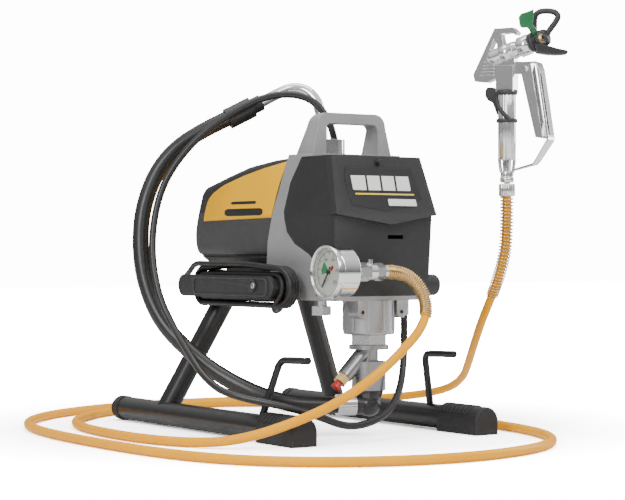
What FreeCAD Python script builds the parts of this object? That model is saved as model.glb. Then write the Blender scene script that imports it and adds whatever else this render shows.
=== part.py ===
"""Airless paint sprayer on skid runners, with its suction set, paint hose and spray gun.

Millimetres. +Z is up, the front cover faces -Y, and the origin is on the floor midway between the runners.
"""
import FreeCAD, Part
import math
import os

import Sketcher

Vector = FreeCAD.Vector
Rotation = FreeCAD.Rotation
Placement = FreeCAD.Placement

# Driving dimensions. Each becomes a spreadsheet cell with the same alias.
DIMENSIONS = {
    # skid frame
    "skid_half_width": 145, "runner_radius": 16.5, "runner_height": 17.5, "runner_front": -236,
    "runner_rear": 238, "leg_radius": 15, "leg_foot_y": 112, "leg_top_x": 66, "leg_top_y": 73,
    "hook_radius": 4.8, "left_hook_y": -146, "right_hook_y": -120, "hook_bend_radius": 13,
    "hook_rise": 104, "hook_lean_x": 19, "hook_lean_y": 13, "hook_arm": 66,
    "cap_radius": 19, "cap_flat_height": 18, "cap_front": -246, "cap_back": -160, "cap_depth": 75,
    "rib_count": 8, "rib_pitch": 8.5, "rib_width": 4, "rib_proud": 1.3, "cap_edge": 3,
    "plug_radius": 17.5, "plug_front": 222, "plug_rear": 243, "plug_edge": 7,
    # bracket under the motor
    "bracket_bottom": 184, "bracket_top": 228, "bracket_half_width": 44, "bracket_rear": 112,
    "bracket_wall": 3, "cross_half_width": 86, "cross_front": 50, "cross_rear": 96, "cross_thick": 6,
    # casing, handle and covers
    "casing_wall": 8, "chamber_rear": -75, "chamber_top": 362, "chamber_bottom": 187,
    "crosshead_hole_radius": 18, "handle_front": -141, "handle_base_back": -101,
    "handle_top_back": -119, "handle_floor": 373, "handle_shoulder": 408, "handle_top": 428,
    "handle_half_base": 64, "handle_half_top": 55, "window_half": 42, "window_top": 414,
    "window_corner": 9, "handle_corner": 20, "slot_low_x": 7, "slot_high_x": 32, "slot_low_z": 260.5,
    "slot_high_z": 265.5, "cover_screw_z": 361, "screw_radius": 3.2, "badge_thick": 1.2,
    "panel_thick": 1.4, "panel_x": 74.6, "knob_hole_radius": 6,
    # motor and drive
    "motor_height": 304, "crank_height": 250, "shaft_radius": 8, "shaft_clearance": 0.05,
    "armature_radius": 27, "armature_front": -28, "armature_rear": 72, "stator_bore": 29,
    "stator_radius": 44, "stator_front": -24, "stator_rear": 66, "shaft_rear": 104, "fan_front": 80,
    "fan_rear": 92, "fan_radius": 36, "gear_module": 1.5, "pinion_teeth": 12, "gear_teeth": 60,
    "gear_front": -130, "gear_rear": -118, "pinion_front": -133, "web_front": -160, "web_rear": -150,
    "web_radius": 23, "crank_throw": 12, "crank_pin_radius": 6, "crank_pin_front": -172.4,
    "crank_rear": -61, "pump_y": -178, "rod_half_width": 5.2, "rod_length": 50, "rod_big_eye": 13,
    "rod_small_eye": 9, "rod_bore": 7.5, "wrist_radius": 4, "crosshead_radius": 13,
    "crosshead_bottom": 172, "crosshead_top": 198, "piston_radius": 9, "piston_bottom": 74,
    # pump
    "housing_radius": 34, "housing_bottom": 135, "housing_top": 180, "housing_bore": 17,
    "housing_bore_bottom": 146, "lug_x": 31, "lug_half_width": 7.5, "lug_bottom": 157, "lug_hole_z": 165,
    "lug_front": -209, "lug_hole_radius": 2.6, "nut_top": 135, "nut_bottom": 121.5, "nut_radius": 25,
    "collar_radius": 26.3, "collar_bottom": 115.5, "barrel_radius": 24, "barrel_bottom": 100,
    "cylinder_radius": 22.5, "cylinder_bottom": 62, "cylinder_bore": 12, "boss_radius": 10.5,
    "boss_start_z": 112, "boss_length": 44, "pusher_nut_radius": 9.5, "pusher_nut_length": 11,
    "pusher_radius": 4.6, "pusher_cap_radius": 6.4, "pusher_length": 13, 
    "elbow_radius": 16, "elbow_height": 43, "elbow_top": 62, "rim_radius": 20, "suction_nut_radius": 14,
    "suction_nut_end": 44, "suction_nut_start": 18.5, "elbow_turn": 20,
    # controls and small fittings
    "knob_y": -175, "knob_z": 199, "knob_radius": 14.3, "knob_start": 84, "knob_end": 112,
    "knob_shaft_radius": 4, "valve_y": -118, "valve_z": 205, "valve_radius": 12, "valve_start": 76.5,
    "valve_end": 88,
    "lever_hub_end": 99, "lever_reach": 30, "lever_half_width": 5, "return_x": 49, "return_y": -190,
    "return_radius": 6.4, "return_bottom": 160, "sensor_x": -66, "sensor_y": -165, "sensor_nut": 14,
    "sensor_stem": 7.5, "sensor_nut_top": 173, "sensor_nut_bottom": 161, "rocker_y": 30, "rocker_z": 262,
    "rocker_half_length": 11, "rocker_half_height": 7, "rocker_gap": 0.8,
    # gauge and outlet
    "gauge_y": -241, "gauge_z": 218, "gauge_face": -111, "gauge_back": -77, "gauge_radius": 31.5,
    "bezel_radius": 34, "bezel_depth": 8, "glass_radius": 30, "glass_x": -109, "dial_x": -104.5,
    "dial_thick": 1, "needle_x": -107, "needle_length": 24, "needle_tail": 8, "hub_radius": 3,
    "fitting_end": -19, "outlet_nipple_x": -41, "outlet_nipple_radius": 7, "bleed_radius": 3.2,
    # cord wrap, cord and cup
    "wrap_z": 197, "wrap_inner": -92, "wrap_core_outer": -118, "wrap_face": -123, "wrap_front": -136,
    "wrap_rear": 78, "core_half_height": 12, "face_half_height": 15, "end_flat": 0.3, "cap_rear_y": 112,
    "cord_radius": 3.75, "gland_x": -22, "gland_z": 206, "gland_length": 30, "gland_radius": 6.5,
    "cup_x": 6, "cup_y": -76, "cup_bottom": 373.2, "cup_top": 396, "cup_radius": 21.5, "cup_wall": 2,
    # hoses
    "paint_hose_radius": 6.25, "spring_inner": 7, "spring_outer": 11.5, "gun_spring_outer": 10,
    "suction_hose_radius": 11, "cuff_radius": 14.5, "cuff_inner": 11.2, "suction_pipe_radius": 7.5,
    "cuff_clearance": 0.05,
    "return_hose_radius": 4.8,
    # gun, in its own frame: forward, sideways, up
    "gun_x": 230, "gun_y": -183, "gun_turn": -63.5, "grip_radius": 12, "grip_bottom": 369,
    "grip_top": 464, "grip_cone_bottom": 352, "grip_end": 337, "swivel_bottom": 320,
    "swivel_radius": 10, "barrel_slope": 18.5, "barrel_x": -16, "barrel_z": 512, "barrel_radius": 12.5,
    "barrel_length": 30, "guard_nut_end": 52, "guard_nut_radius": 14, "guard_body_end": 80,
    "guard_body_radius": 12.5, "tip_position": 67, "tip_radius": 5, "flag_bottom": 28, "flag_top": 47,
    "guard_roll": 35,
    "trigger_x": 32, "trigger_z": 494, "trigger_pin_radius": 3, "lock_inner": 12.4, "lock_outer": 14.6,
    "lock_high": 448, "lock_top": 460, "lock_low": 416, "lock_low_end": 422, "lock_reach": 31,
    "lock_half_width": 5, "trigger_half_width": 8.5, "blade_thick": 3.1, "strap_half_width": 12,
    "gun_half_width": 7, "ear_half_width": 5, "neck_half_depth": 13, "neck_half_width": 9, "neck_top": 500,
    "flag_back": 24, "flag_front": 6, "flag_half_thick": 3.5,
}

# Outlines: each point becomes two spreadsheet cells. Side outlines are (y, z), front outlines (x, z).
OUTLINES = {
    "casing_side": [(-93, 371), (-66, 306), (-50, 257), (-47, 224), (-75, 205), (-103, 184), (-103, 180),
                    (-209, 180), (-209, 186), (-165, 186), (-165, 228), (-151, 240), (-117, 254), (-99, 270),
                    (-91, 297), (-101, 335), (-125, 369), (-150, 369), (-150, 373), (-94, 373)],
    "casing_front": [(-71, 374), (71, 374), (77, 290), (76, 180), (-76, 180), (-77, 290)],
    "bracket_side": [(-47, 228), (112, 228), (112, 184), (-103, 184), (-75, 205), (-47, 224)],
    "cover_side": [(-125, 369), (-193, 369), (-212, 290), (-209, 186), (-165, 186), (-165, 228),
                   (-151, 240), (-117, 254), (-99, 270), (-91, 297), (-101, 335)],
    "cover_front": [(-70, 369), (70, 369), (78, 287), (75, 215), (75, 186), (-75, 186), (-75, 215),
                    (-78, 287)],
    "cover_inside": [(-122, 366), (-190, 366), (-209, 290), (-206, 186), (-120, 186), (-86, 297),
                     (-96, 335)],
    "cover_inside_front": [(-67, 366), (67, 366), (75, 287), (72, 215), (72, 180), (-72, 180),
                           (-72, 215), (-75, 287)],
    "hood_side": [(-180, 369), (-195, 369), (-225, 279), (-206, 279), (-206, 300)],
    "hood_front": [(-71, 369), (71, 369), (80, 292), (4, 279), (-80, 292)],
    "badge": [(-53, 353), (52, 353), (62, 314), (4, 296), (-54, 304), (-57, 338)],
    "shroud_side": [(-93, 371), (30, 362), (128, 338), (152, 276), (153, 250), (128, 228), (-47, 228),
                    (-50, 257), (-66, 306)],
    "shroud_front": [(-66, 373), (66, 373), (75, 330), (76, 286), (74, 246), (62, 228), (-62, 228),
                     (-74, 246), (-76, 286), (-75, 330)],
    "shroud_inside": [(-90, 366), (30, 359), (124, 335), (148, 275), (149, 252), (125, 231), (-50, 231),
                      (-53, 257), (-69, 306)],
    "shroud_inside_front": [(-63, 369), (63, 369), (72, 329), (73, 286), (71, 247), (60, 231),
                            (-60, 231), (-71, 247), (-73, 286), (-72, 329)],
    "panel": [(-88, 364), (-60, 362), (13, 350), (84, 332), (107, 320), (120, 286), (-58, 288)],
    "gun_frame": [(-48, 490), (-46, 480), (-28, 478), (-12, 484), (14, 484), (14, 512), (0, 516),
                  (-6, 544), (10, 545), (16, 541), (19, 545), (11, 552), (-16, 552)],
    "gun_window": [(-30, 506), (-12, 506), (-12, 530), (-17, 538)],
    "guard_strap": [(38, 501), (46.5, 501), (64.5, 397), (42, 365.5), (9, 357.5), (9, 354.5), (43, 362.5),
                    (67.5, 396), (49.5, 504), (38, 504)],
    "gun_ear": [(8, 488), (38, 488), (38, 504), (8, 505)],
    "trigger_blade": [(25, 501), (25, 488), (46, 400), (56, 398), (40, 492), (38, 501)],
}

document = FreeCAD.newDocument("airless_paint_sprayer")
sheet = document.addObject("Spreadsheet::Sheet", "sizes")
sheet_rows = 0


class Size:
    """A number that remembers the spreadsheet expression it comes from."""

    def __init__(self, value, text):
        self.value = value
        self.text = text

    def joined(self, other, sign, result):
        return Size(result, "(%s %s %s)" % (self.text, sign, sized(other).text))

    def __add__(self, other):
        return self.joined(other, "+", self.value + sized(other).value)

    def __sub__(self, other):
        return self.joined(other, "-", self.value - sized(other).value)

    def __mul__(self, other):
        return self.joined(other, "*", self.value * sized(other).value)

    def __truediv__(self, other):
        return self.joined(other, "/", self.value / sized(other).value)

    def __radd__(self, other):
        return sized(other) + self

    def __rsub__(self, other):
        return sized(other) - self

    def __rmul__(self, other):
        return sized(other) * self

    def __neg__(self):
        return Size(-self.value, "(0 - %s)" % self.text)

    def __float__(self):
        return float(self.value)


def sized(number):
    return number if isinstance(number, Size) else Size(float(number), repr(float(number)))


def store(alias, value):
    """Write one value to the next row of the sheet and give back its Size."""
    global sheet_rows
    sheet_rows += 1
    sheet.set("A%d" % sheet_rows, alias)
    sheet.set("B%d" % sheet_rows, str(value))
    sheet.setAlias("B%d" % sheet_rows, alias)
    return Size(float(value), "sizes." + alias)


class Named:
    """Named sizes, read as attributes."""


size = Named()
for alias, value in DIMENSIONS.items():
    setattr(size, alias, store(alias, value))
outline = {}
for name, corners in OUTLINES.items():
    outline[name] = [(store("%s_across_%d" % (name, i), across), store("%s_along_%d" % (name, i), along))
                     for i, (across, along) in enumerate(corners)]
document.recompute()


# ---------------------------------------------------------------- building blocks

def bind(obj, path, number):
    obj.setExpression(path, sized(number).text)


def put(obj, at, rotation=None):
    """Place an object, its position bound to the sheet."""
    obj.Placement = Placement(Vector(*[float(c) for c in at]), rotation or Rotation())
    for letter, number in zip("xyz", at):
        bind(obj, "Placement.Base." + letter, number)
    return obj


TOWARDS = {"+z": Rotation(), "-z": Rotation(Vector(1, 0, 0), 180),
           "+x": Rotation(Vector(0, 1, 0), 90), "-x": Rotation(Vector(0, 1, 0), -90),
           "+y": Rotation(Vector(1, 0, 0), -90), "-y": Rotation(Vector(1, 0, 0), 90)}


def rotation_towards(direction):
    return TOWARDS[direction] if isinstance(direction, str) else Rotation(Vector(0, 0, 1), direction)


def cylinder(name, radius, length, at, direction="+z"):
    obj = document.addObject("Part::Cylinder", name)
    bind(obj, "Radius", radius)
    bind(obj, "Height", length)
    return put(obj, at, rotation_towards(direction))


def cone(name, radius_start, radius_end, length, at, direction="+z"):
    obj = document.addObject("Part::Cone", name)
    bind(obj, "Radius1", radius_start)
    bind(obj, "Radius2", radius_end)
    bind(obj, "Height", length)
    return put(obj, at, rotation_towards(direction))


def hexagon(name, circumradius, length, at, direction="+z"):
    obj = document.addObject("Part::Prism", name)
    obj.Polygon = 6
    bind(obj, "Circumradius", circumradius)
    bind(obj, "Height", length)
    return put(obj, at, rotation_towards(direction))


def block(name, low, high):
    """A box between two corners."""
    obj = document.addObject("Part::Box", name)
    for prop, start, end in zip(("Length", "Width", "Height"), low, high):
        bind(obj, prop, sized(end) - start)
    return put(obj, low)


def turned_block(name, low, high, at, rotation):
    """A box between two corners in a local frame that is turned and moved to at."""
    obj = block(name, low, high)
    offset = rotation.multVec(Vector(*[float(c) for c in low]))
    return put(obj, [sized(place) + shift for place, shift in zip(at, offset)], rotation)


def join(name, *parts):
    obj = document.addObject("Part::MultiFuse", name)
    obj.Shapes = list(parts)
    obj.Refine = True
    return obj


def cut(name, base, *tools):
    for i, tool in enumerate(tools):
        obj = document.addObject("Part::Cut", name if i == len(tools) - 1 else "%s_step_%d" % (name, i))
        obj.Base = base
        obj.Tool = tool
        base = obj
    return base


def common(name, first, second):
    obj = document.addObject("Part::Common", name)
    obj.Base = first
    obj.Tool = second
    return obj


def rounded(name, base, radius, chosen):
    """Fillet the edges that chosen(edge) accepts."""
    document.recompute()
    obj = document.addObject("Part::Fillet", name)
    obj.Base = base
    number = float(radius)
    obj.Edges = [(i + 1, number, number) for i, edge in enumerate(base.Shape.Edges) if chosen(edge)]
    return obj


def mirrored(name, source):
    """The left piece's twin on the right."""
    obj = document.addObject("Part::Mirroring", name)
    obj.Source = source
    obj.Normal = Vector(1, 0, 0)
    return obj


def prism(name, corners, plane, start, length):
    """A PartDesign pad of a closed outline: on YZ it grows along +X, on XZ along -Y, on XY along +Z."""
    body = document.addObject("PartDesign::Body", name)
    sketch = body.newObject("Sketcher::SketchObject", name + "_outline")
    origin_plane = [f for f in body.Origin.OriginFeatures if f.Role == plane + "_Plane"][0]
    sketch.AttachmentSupport = [(origin_plane, "")]
    sketch.MapMode = "FlatFace"
    bind(sketch, "AttachmentOffset.Base.z", start)
    corners = [(sized(across), sized(along)) for across, along in corners]
    points = [Vector(float(across), float(along), 0) for across, along in corners]
    count = len(points)
    for i in range(count):
        sketch.addGeometry(Part.LineSegment(points[i], points[(i + 1) % count]), False)
    for i in range(count):
        sketch.addConstraint(Sketcher.Constraint("Coincident", i, 2, (i + 1) % count, 1))
    for i, (across, along) in enumerate(corners):
        for kind, number in (("DistanceX", across), ("DistanceY", along)):
            index = sketch.addConstraint(Sketcher.Constraint(kind, -1, 1, i, 1, float(number)))
            bind(sketch, "Constraints[%d]" % index, number)
    pad = body.newObject("PartDesign::Pad", name + "_pad")
    pad.Profile = sketch
    bind(pad, "Length", length)
    return body


def side_prism(name, corners, half_width):
    """An outline seen from the side (y, z), as wide as twice half_width about X = 0."""
    return prism(name, corners, "YZ", -sized(half_width), sized(half_width) * 2)


def front_prism(name, corners, front, rear):
    """An outline seen from the front (x, z), between two Y planes."""
    return prism(name, corners, "XZ", -sized(rear), sized(rear) - front)


def shape_feature(name, shape):
    obj = document.addObject("Part::Feature", name)
    obj.Shape = shape
    return obj


# ---------------------------------------------------------------- cords and bent rods

ARC_SHARE = 0.45


def rounded_path(points, radius=None):
    """Straight runs joined by tangent arcs, each arc as large as its two runs allow."""
    points = [Vector(*[float(c) for c in p]) for p in points]
    edges = []
    radii = []
    start = points[0]
    for before, corner, after in zip(points, points[1:], points[2:]):
        towards = (before - corner).normalize()
        away = (after - corner).normalize()
        half_turn = (math.pi - towards.getAngle(away)) / 2
        shorter = min(before.distanceToPoint(corner), after.distanceToPoint(corner))
        arc_radius = radius or ARC_SHARE * shorter / math.tan(half_turn)
        reach = arc_radius * math.tan(half_turn)
        arc_start = corner + towards * reach
        arc_end = corner + away * reach
        centre = corner + (towards + away).normalize() * (arc_radius / math.cos(half_turn))
        middle = centre + (corner - centre).normalize() * arc_radius
        edges.append(Part.LineSegment(start, arc_start).toShape())
        edges.append(Part.Arc(arc_start, middle, arc_end).toShape())
        radii.append(arc_radius)
        start = arc_end
    edges.append(Part.LineSegment(start, points[-1]).toShape())
    return edges, radii


def tube(name, edges, radius, bore=None):
    """A round tube along a chain of edges, hollow if it has a bore."""
    start = edges[0].Vertexes[0].Point
    direction = edges[0].tangentAt(edges[0].FirstParameter)
    wire = Part.Wire(edges)

    def swept(section_radius):
        section = Part.Wire([Part.Circle(start, direction, float(section_radius)).toShape()])
        return wire.makePipeShell([section], True, True)

    shape = swept(radius)
    if bore:
        shape = shape.cut(swept(bore))
    return shape_feature(name, shape)


def cord(name, points, radius):
    """The plain tube of a free cord, with its radii and its volume checked."""
    edges, radii = rounded_path(points)
    obj = tube(name, edges, radius)
    length = sum(edge.Length for edge in edges)
    expected = math.pi * float(radius) ** 2 * length
    print("%s: length %.0f, volume ratio %.4f, radii %s" % (
        name, length, obj.Shape.Volume / expected, " ".join("%.0f" % r for r in radii)))
    return obj, edges


# ---------------------------------------------------------------- the nodes and their register

nodes = {}


def node(name, obj, frame=None):
    """Register a finished sub-part under its file name, moved as a whole by frame if given."""
    obj.Label = name
    if frame is not None:
        obj.Placement = frame.multiply(obj.Placement)
    nodes[name] = obj
    return obj


# ---------------------------------------------------------------- skid frame

def make_runners():
    for name, side in (("left_runner", -1), ("right_runner", 1)):
        node(name, cylinder(name, size.runner_radius, size.runner_rear - size.runner_front,
                            (size.skid_half_width * side, size.runner_front, size.runner_height), "+y"))


def make_legs():
    """Each leg leans in and forward from its runner to the underside of the cross plate."""
    for name, side in (("left_leg", -1), ("right_leg", 1)):
        foot = Vector(side * float(size.skid_half_width), float(size.leg_foot_y), float(size.runner_height))
        head = Vector(side * float(size.leg_top_x), float(size.leg_top_y), float(size.bracket_bottom))
        lean = head - foot
        rod = cylinder(name + "_rod", size.leg_radius, lean.Length * 1.2,
                       (size.skid_half_width * side, size.leg_foot_y, size.runner_height), lean)
        runner = cylinder(name + "_saddle", size.runner_radius, size.runner_rear - size.runner_front,
                          (size.skid_half_width * side, size.runner_front, size.runner_height), "+y")
        above = block(name + "_above", (-200, -200, size.bracket_bottom), (200, 300, 300))
        below = block(name + "_below", (-200, -200, -50), (200, 300, size.runner_height))
        node(name, cut(name, rod, runner, above, below))


def make_hose_hooks():
    """A bent rod on each runner: up, leaning in and forward, then an arm to the front."""
    rods = []
    for name, side, foot_y in (("left_hook", -1, size.left_hook_y), ("right_hook", 1, size.right_hook_y)):
        foot_x = size.skid_half_width * side
        bend_x = foot_x - size.hook_lean_x * side
        bend_y = foot_y - size.hook_lean_y
        points = [(foot_x, foot_y, size.runner_height + size.runner_radius - 2),
                  (bend_x, bend_y, size.hook_rise),
                  (bend_x, bend_y - size.hook_arm, size.hook_rise + 2)]
        edges, _ = rounded_path(points, float(size.hook_bend_radius))
        rod = tube(name + "_rod", edges, size.hook_radius)
        saddle = cylinder(name + "_saddle", size.runner_radius, size.runner_rear - size.runner_front,
                          (foot_x, size.runner_front, size.runner_height), "+y")
        rods.append(cut(name, rod, saddle))
    node("hose_hooks", join("hose_hooks", *rods))


def make_foot_caps():
    """Arch-shaped plastic shoes with a flat sole and grip ribs across the top."""
    depth = size.cap_back - size.cap_front
    left = -size.skid_half_width
    round_bar = cylinder("cap_round_bar", size.cap_radius, depth,
                         (left, size.cap_front, size.cap_flat_height), "+y")
    upper_zone = block("cap_upper_zone", (left - size.cap_radius, size.cap_front, size.cap_flat_height),
                       (left + size.cap_radius, size.cap_back, size.cap_radius * 3))
    arch = common("cap_arch", round_bar, upper_zone)
    sole = block("cap_sole", (left - size.cap_radius, size.cap_front, 0),
                 (left + size.cap_radius, size.cap_back, size.cap_flat_height))
    shell = join("cap_shell", arch, sole)
    edged = rounded("cap_edged", shell, size.cap_edge,
                    lambda e: abs(e.CenterOfMass.y - float(size.cap_front)) < 0.1)
    ribs = []
    for i in range(DIMENSIONS["rib_count"]):
        start = size.cap_back - size.rib_width - size.rib_pitch * i
        ring = cylinder("cap_ring_%d" % i, size.cap_radius + size.rib_proud, size.rib_width,
                        (left, start, size.cap_flat_height), "+y")
        keep = block("cap_keep_%d" % i,
                     (left - size.cap_radius - 3, start - 1, size.cap_flat_height + size.cap_radius / 2),
                     (left + size.cap_radius + 3, start + size.rib_width + 1, size.cap_radius * 3))
        ribs.append(common("cap_rib_%d" % i, ring, keep))
    ribbed = join("cap_ribbed", edged, *ribs)
    socket = cylinder("cap_socket", size.runner_radius, size.cap_depth + 50,
                      (left, size.runner_front, size.runner_height), "+y")
    left_cap = cut("left_cap", ribbed, socket)
    node("foot_caps", join("foot_caps", left_cap, mirrored("right_cap", left_cap)))


def make_rear_plugs():
    left = -size.skid_half_width
    body = cylinder("plug_body", size.plug_radius, size.plug_rear - size.plug_front,
                    (left, size.plug_front, size.runner_height), "+y")
    round_end = rounded("plug_round", body, size.plug_edge,
                        lambda e: abs(e.CenterOfMass.y - float(size.plug_rear)) < 0.1)
    socket = cylinder("plug_socket", size.runner_radius, size.runner_rear - size.plug_front + 5,
                      (left, size.plug_front - 5, size.runner_height), "+y")
    left_plug = cut("left_plug", round_end, socket)
    node("rear_plugs", join("rear_plugs", left_plug, mirrored("right_plug", left_plug)))


def make_base_bracket():
    """Closed channel under the motor with a cross plate that the legs are welded to."""
    channel = side_prism("bracket_channel", outline["bracket_side"], size.bracket_half_width)
    cross = block("bracket_cross", (-size.cross_half_width, size.cross_front, size.bracket_bottom),
                  (size.cross_half_width, size.cross_rear, size.bracket_bottom + size.cross_thick))
    hollow = block("bracket_hollow",
                   (size.bracket_wall - size.bracket_half_width, -40, size.bracket_bottom + size.cross_thick),
                   (size.bracket_half_width - size.bracket_wall, size.bracket_rear - size.bracket_wall,
                    size.bracket_top - size.bracket_wall))
    node("base_bracket", cut("base_bracket", join("bracket_solid", channel, cross), hollow))


# ---------------------------------------------------------------- casing and covers

def make_gear_casing():
    """Grey die casting: a band round the gear chamber, open to the front, with the carry handle on top."""
    band = common("casing_band", side_prism("casing_side", outline["casing_side"], 80),
                  front_prism("casing_front", outline["casing_front"], -215, -40))
    chamber = block("casing_chamber",
                    (size.casing_wall - 76, -200, size.chamber_bottom),
                    (76 - size.casing_wall, size.chamber_rear, size.chamber_top))
    shaft_hole = cylinder("casing_shaft_hole", size.shaft_radius + size.shaft_clearance, 60,
                          (0, size.chamber_rear - 5, size.motor_height), "+y")
    crank_hole = cylinder("casing_crank_hole", size.shaft_radius + size.shaft_clearance,
                          size.crank_rear - size.chamber_rear + 5.4,
                          (0, size.chamber_rear - 5, size.crank_height), "+y")
    crosshead_hole = cylinder("casing_crosshead_hole", size.crosshead_hole_radius, 20,
                              (0, size.pump_y, size.housing_top - 5))
    cup_seat = cylinder("casing_cup_seat", size.cup_radius + 0.3, 10,
                        (size.cup_x, size.cup_y, size.cup_bottom - 2.2))
    hollow = cut("casing_hollow", band, chamber, shaft_hole, crank_hole, crosshead_hole)
    node("gear_casing", cut("gear_casing", join("casing_with_handle", hollow, make_handle()), cup_seat))


def make_handle():
    """A rounded loop, deeper at its foot than at its top."""
    front_outline = [(-size.handle_half_base, size.handle_floor - 3),
                     (size.handle_half_base, size.handle_floor - 3),
                     (size.handle_half_top, size.handle_shoulder),
                     (size.handle_half_top - 3, size.handle_top),
                     (3 - size.handle_half_top, size.handle_top),
                     (-size.handle_half_top, size.handle_shoulder)]
    side_outline = [(size.handle_front, size.handle_floor - 3),
                    (size.handle_base_back, size.handle_floor - 3),
                    (size.handle_base_back, size.handle_floor + 3), (size.handle_top_back, size.handle_top),
                    (size.handle_front + 2, size.handle_top)]
    solid = common("handle_solid", front_prism("handle_front", front_outline, -150, -90),
                   side_prism("handle_side", side_outline, 70))
    soft = rounded("handle_soft", solid, size.handle_corner - 4,
                   lambda e: e.CenterOfMass.z > float(size.handle_shoulder) + 15
                   and abs(e.CenterOfMass.x) > float(size.handle_half_top) - 8)
    window = block("handle_window", (-size.window_half, -160, size.handle_floor),
                   (size.window_half, -80, size.window_top))
    soft_window = rounded("handle_soft_window", window, size.window_corner,
                          lambda e: abs(e.Vertexes[0].Y - e.Vertexes[-1].Y) > 50
                          and e.CenterOfMass.z > float(size.handle_floor) + 10)
    return cut("handle", soft, soft_window)


def make_front_cover():
    """Black moulded shell over the gears, with an overhanging hood that carries the badge."""
    outer = common("cover_outer", side_prism("cover_side", outline["cover_side"], 82),
                   front_prism("cover_front", outline["cover_front"], -230, -85))
    hood = common("cover_hood", side_prism("hood_side", outline["hood_side"], 84),
                  front_prism("hood_front", outline["hood_front"], -230, -170))
    inner = common("cover_inner", side_prism("cover_inside", outline["cover_inside"], 82),
                   front_prism("cover_inside_front", outline["cover_inside_front"], -230, -85))
    slot = block("cover_slot", (size.slot_low_x, -220, size.slot_low_z),
                 (size.slot_high_x, -200, size.slot_high_z))
    screw_hole = cylinder("cover_screw_hole", size.screw_radius, 40, (0, -215, size.cover_screw_z), "+y")
    outlet_hole = cylinder("cover_outlet_hole", size.outlet_nipple_radius + 1, 30,
                           (size.outlet_nipple_x, -220, size.gauge_z), "+y")
    knob_hole = cylinder("cover_knob_hole", size.knob_hole_radius, 20, (68, size.knob_y, size.knob_z), "+x")
    badge_seat = front_prism("cover_badge_seat", outline["badge"], -240, -150)
    badge_seat_slab = common("cover_badge_recess", badge_seat, badge_slab("cover_badge_slab", 0))
    node("front_cover", cut("front_cover", join("cover_joined", outer, hood), inner, slot, screw_hole,
                            outlet_hole, knob_hole, badge_seat_slab))


def badge_slab(name, lift):
    """A thin sloping layer just under the hood's front face."""
    top_y, top_z = outline["hood_side"][1]
    low_y, low_z = outline["hood_side"][2]
    thick = size.badge_thick
    return side_prism(name, [(top_y - lift - 1, top_z + 3), (low_y - lift - 1, low_z + 3),
                             (low_y + thick, low_z + 3), (top_y + thick, top_z + 3)], 80)


def make_badge_plate():
    plate = common("badge_raw", front_prism("badge_outline", outline["badge"], -240, -150),
                   badge_slab("badge_slab", 0))
    trim_y, trim_z = outline["hood_side"][1]
    low_y, low_z = outline["hood_side"][2]
    outside = side_prism("badge_outside", [(trim_y - 20, trim_z + 3), (low_y - 20, low_z), (low_y, low_z),
                                           (trim_y - 1, trim_z + 3)], 82)
    node("badge_plate", cut("badge_plate", plate, outside))


def make_motor_shroud():
    """Black shell round the motor, rounded along its long edges."""
    outer = common("shroud_outer", side_prism("shroud_side", outline["shroud_side"], 80),
                   front_prism("shroud_front", outline["shroud_front"], -100, 150))
    inner = common("shroud_inner", side_prism("shroud_inside", outline["shroud_inside"], 80),
                   front_prism("shroud_inside_front", outline["shroud_inside_front"], -100, 150))
    shaft_hole = cylinder("shroud_shaft_hole", 22, 60, (0, -110, size.motor_height), "+y")
    cup_seat = cylinder("shroud_cup_seat", size.cup_radius + 0.3, 20,
                        (size.cup_x, size.cup_y, size.cup_bottom - 2.2))
    cup_floor = cylinder("shroud_cup_floor", size.cup_radius + 3, 4,
                         (size.cup_x, size.cup_y, size.cup_bottom - 6.2))
    floor_part = common("shroud_floor_part", cup_floor,
                        side_prism("shroud_floor_zone", outline["shroud_side"], 79))
    rocker_hole = block("shroud_rocker_hole",
                        (60, size.rocker_y - size.rocker_half_length - size.rocker_gap,
                         size.rocker_z - size.rocker_half_height - size.rocker_gap),
                        (90, size.rocker_y + size.rocker_half_length + size.rocker_gap,
                         size.rocker_z + size.rocker_half_height + size.rocker_gap))
    shell = cut("shroud_shell", outer, inner)
    node("motor_shroud", cut("motor_shroud", join("shroud_floored", shell, floor_part), shaft_hole, cup_seat,
                             rocker_hole))


def make_side_panels():
    """Thin coloured panels on both flanks of the shroud."""
    right = common("panel_right_raw", prism("panel_right", outline["panel"], "YZ", 60, 30),
                   front_prism("panel_zone", [(72, 373), (size.panel_x + size.panel_thick + 3, 373),
                                              (78.5, 286), (78.5, 270), (70, 270)], -100, 150))
    trimmed = cut("panel_right_trim", right,
                  front_prism("panel_inside", outline["shroud_front"], -101, 151))
    node("side_panels", join("side_panels", trimmed, mirrored("panel_left", trimmed)))


def make_screws():
    """Cover screw and the two lug screws of the pump housing."""
    cover = cylinder("cover_screw", size.screw_radius - 0.1, 20, (0, -206, size.cover_screw_z), "+y")
    lugs = [cylinder("lug_screw_%d" % side, size.lug_hole_radius - 0.1, 20,
                     (size.lug_x * side, size.lug_front + 2, size.lug_hole_z), "+y") for side in (-1, 1)]
    node("case_screws", join("case_screws", cover, *lugs))


# ---------------------------------------------------------------- motor and drive

def gear_outline(teeth, phase):
    """Trapezoid teeth, thinner than their gaps, as a closed wire about the Z axis."""
    pitch_radius = DIMENSIONS["gear_module"] * teeth / 2
    tip = pitch_radius + 0.85 * DIMENSIONS["gear_module"]
    root = pitch_radius - 1.2 * DIMENSIONS["gear_module"]
    step = 2 * math.pi / teeth
    points = []
    for i in range(teeth):
        centre = phase + i * step
        for share, radius in ((-0.27, root), (-0.11, tip), (0.11, tip), (0.27, root)):
            angle = centre + share * step
            points.append(Vector(radius * math.cos(angle), radius * math.sin(angle), 0))
    return Part.makePolygon(points + [points[0]])


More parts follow.
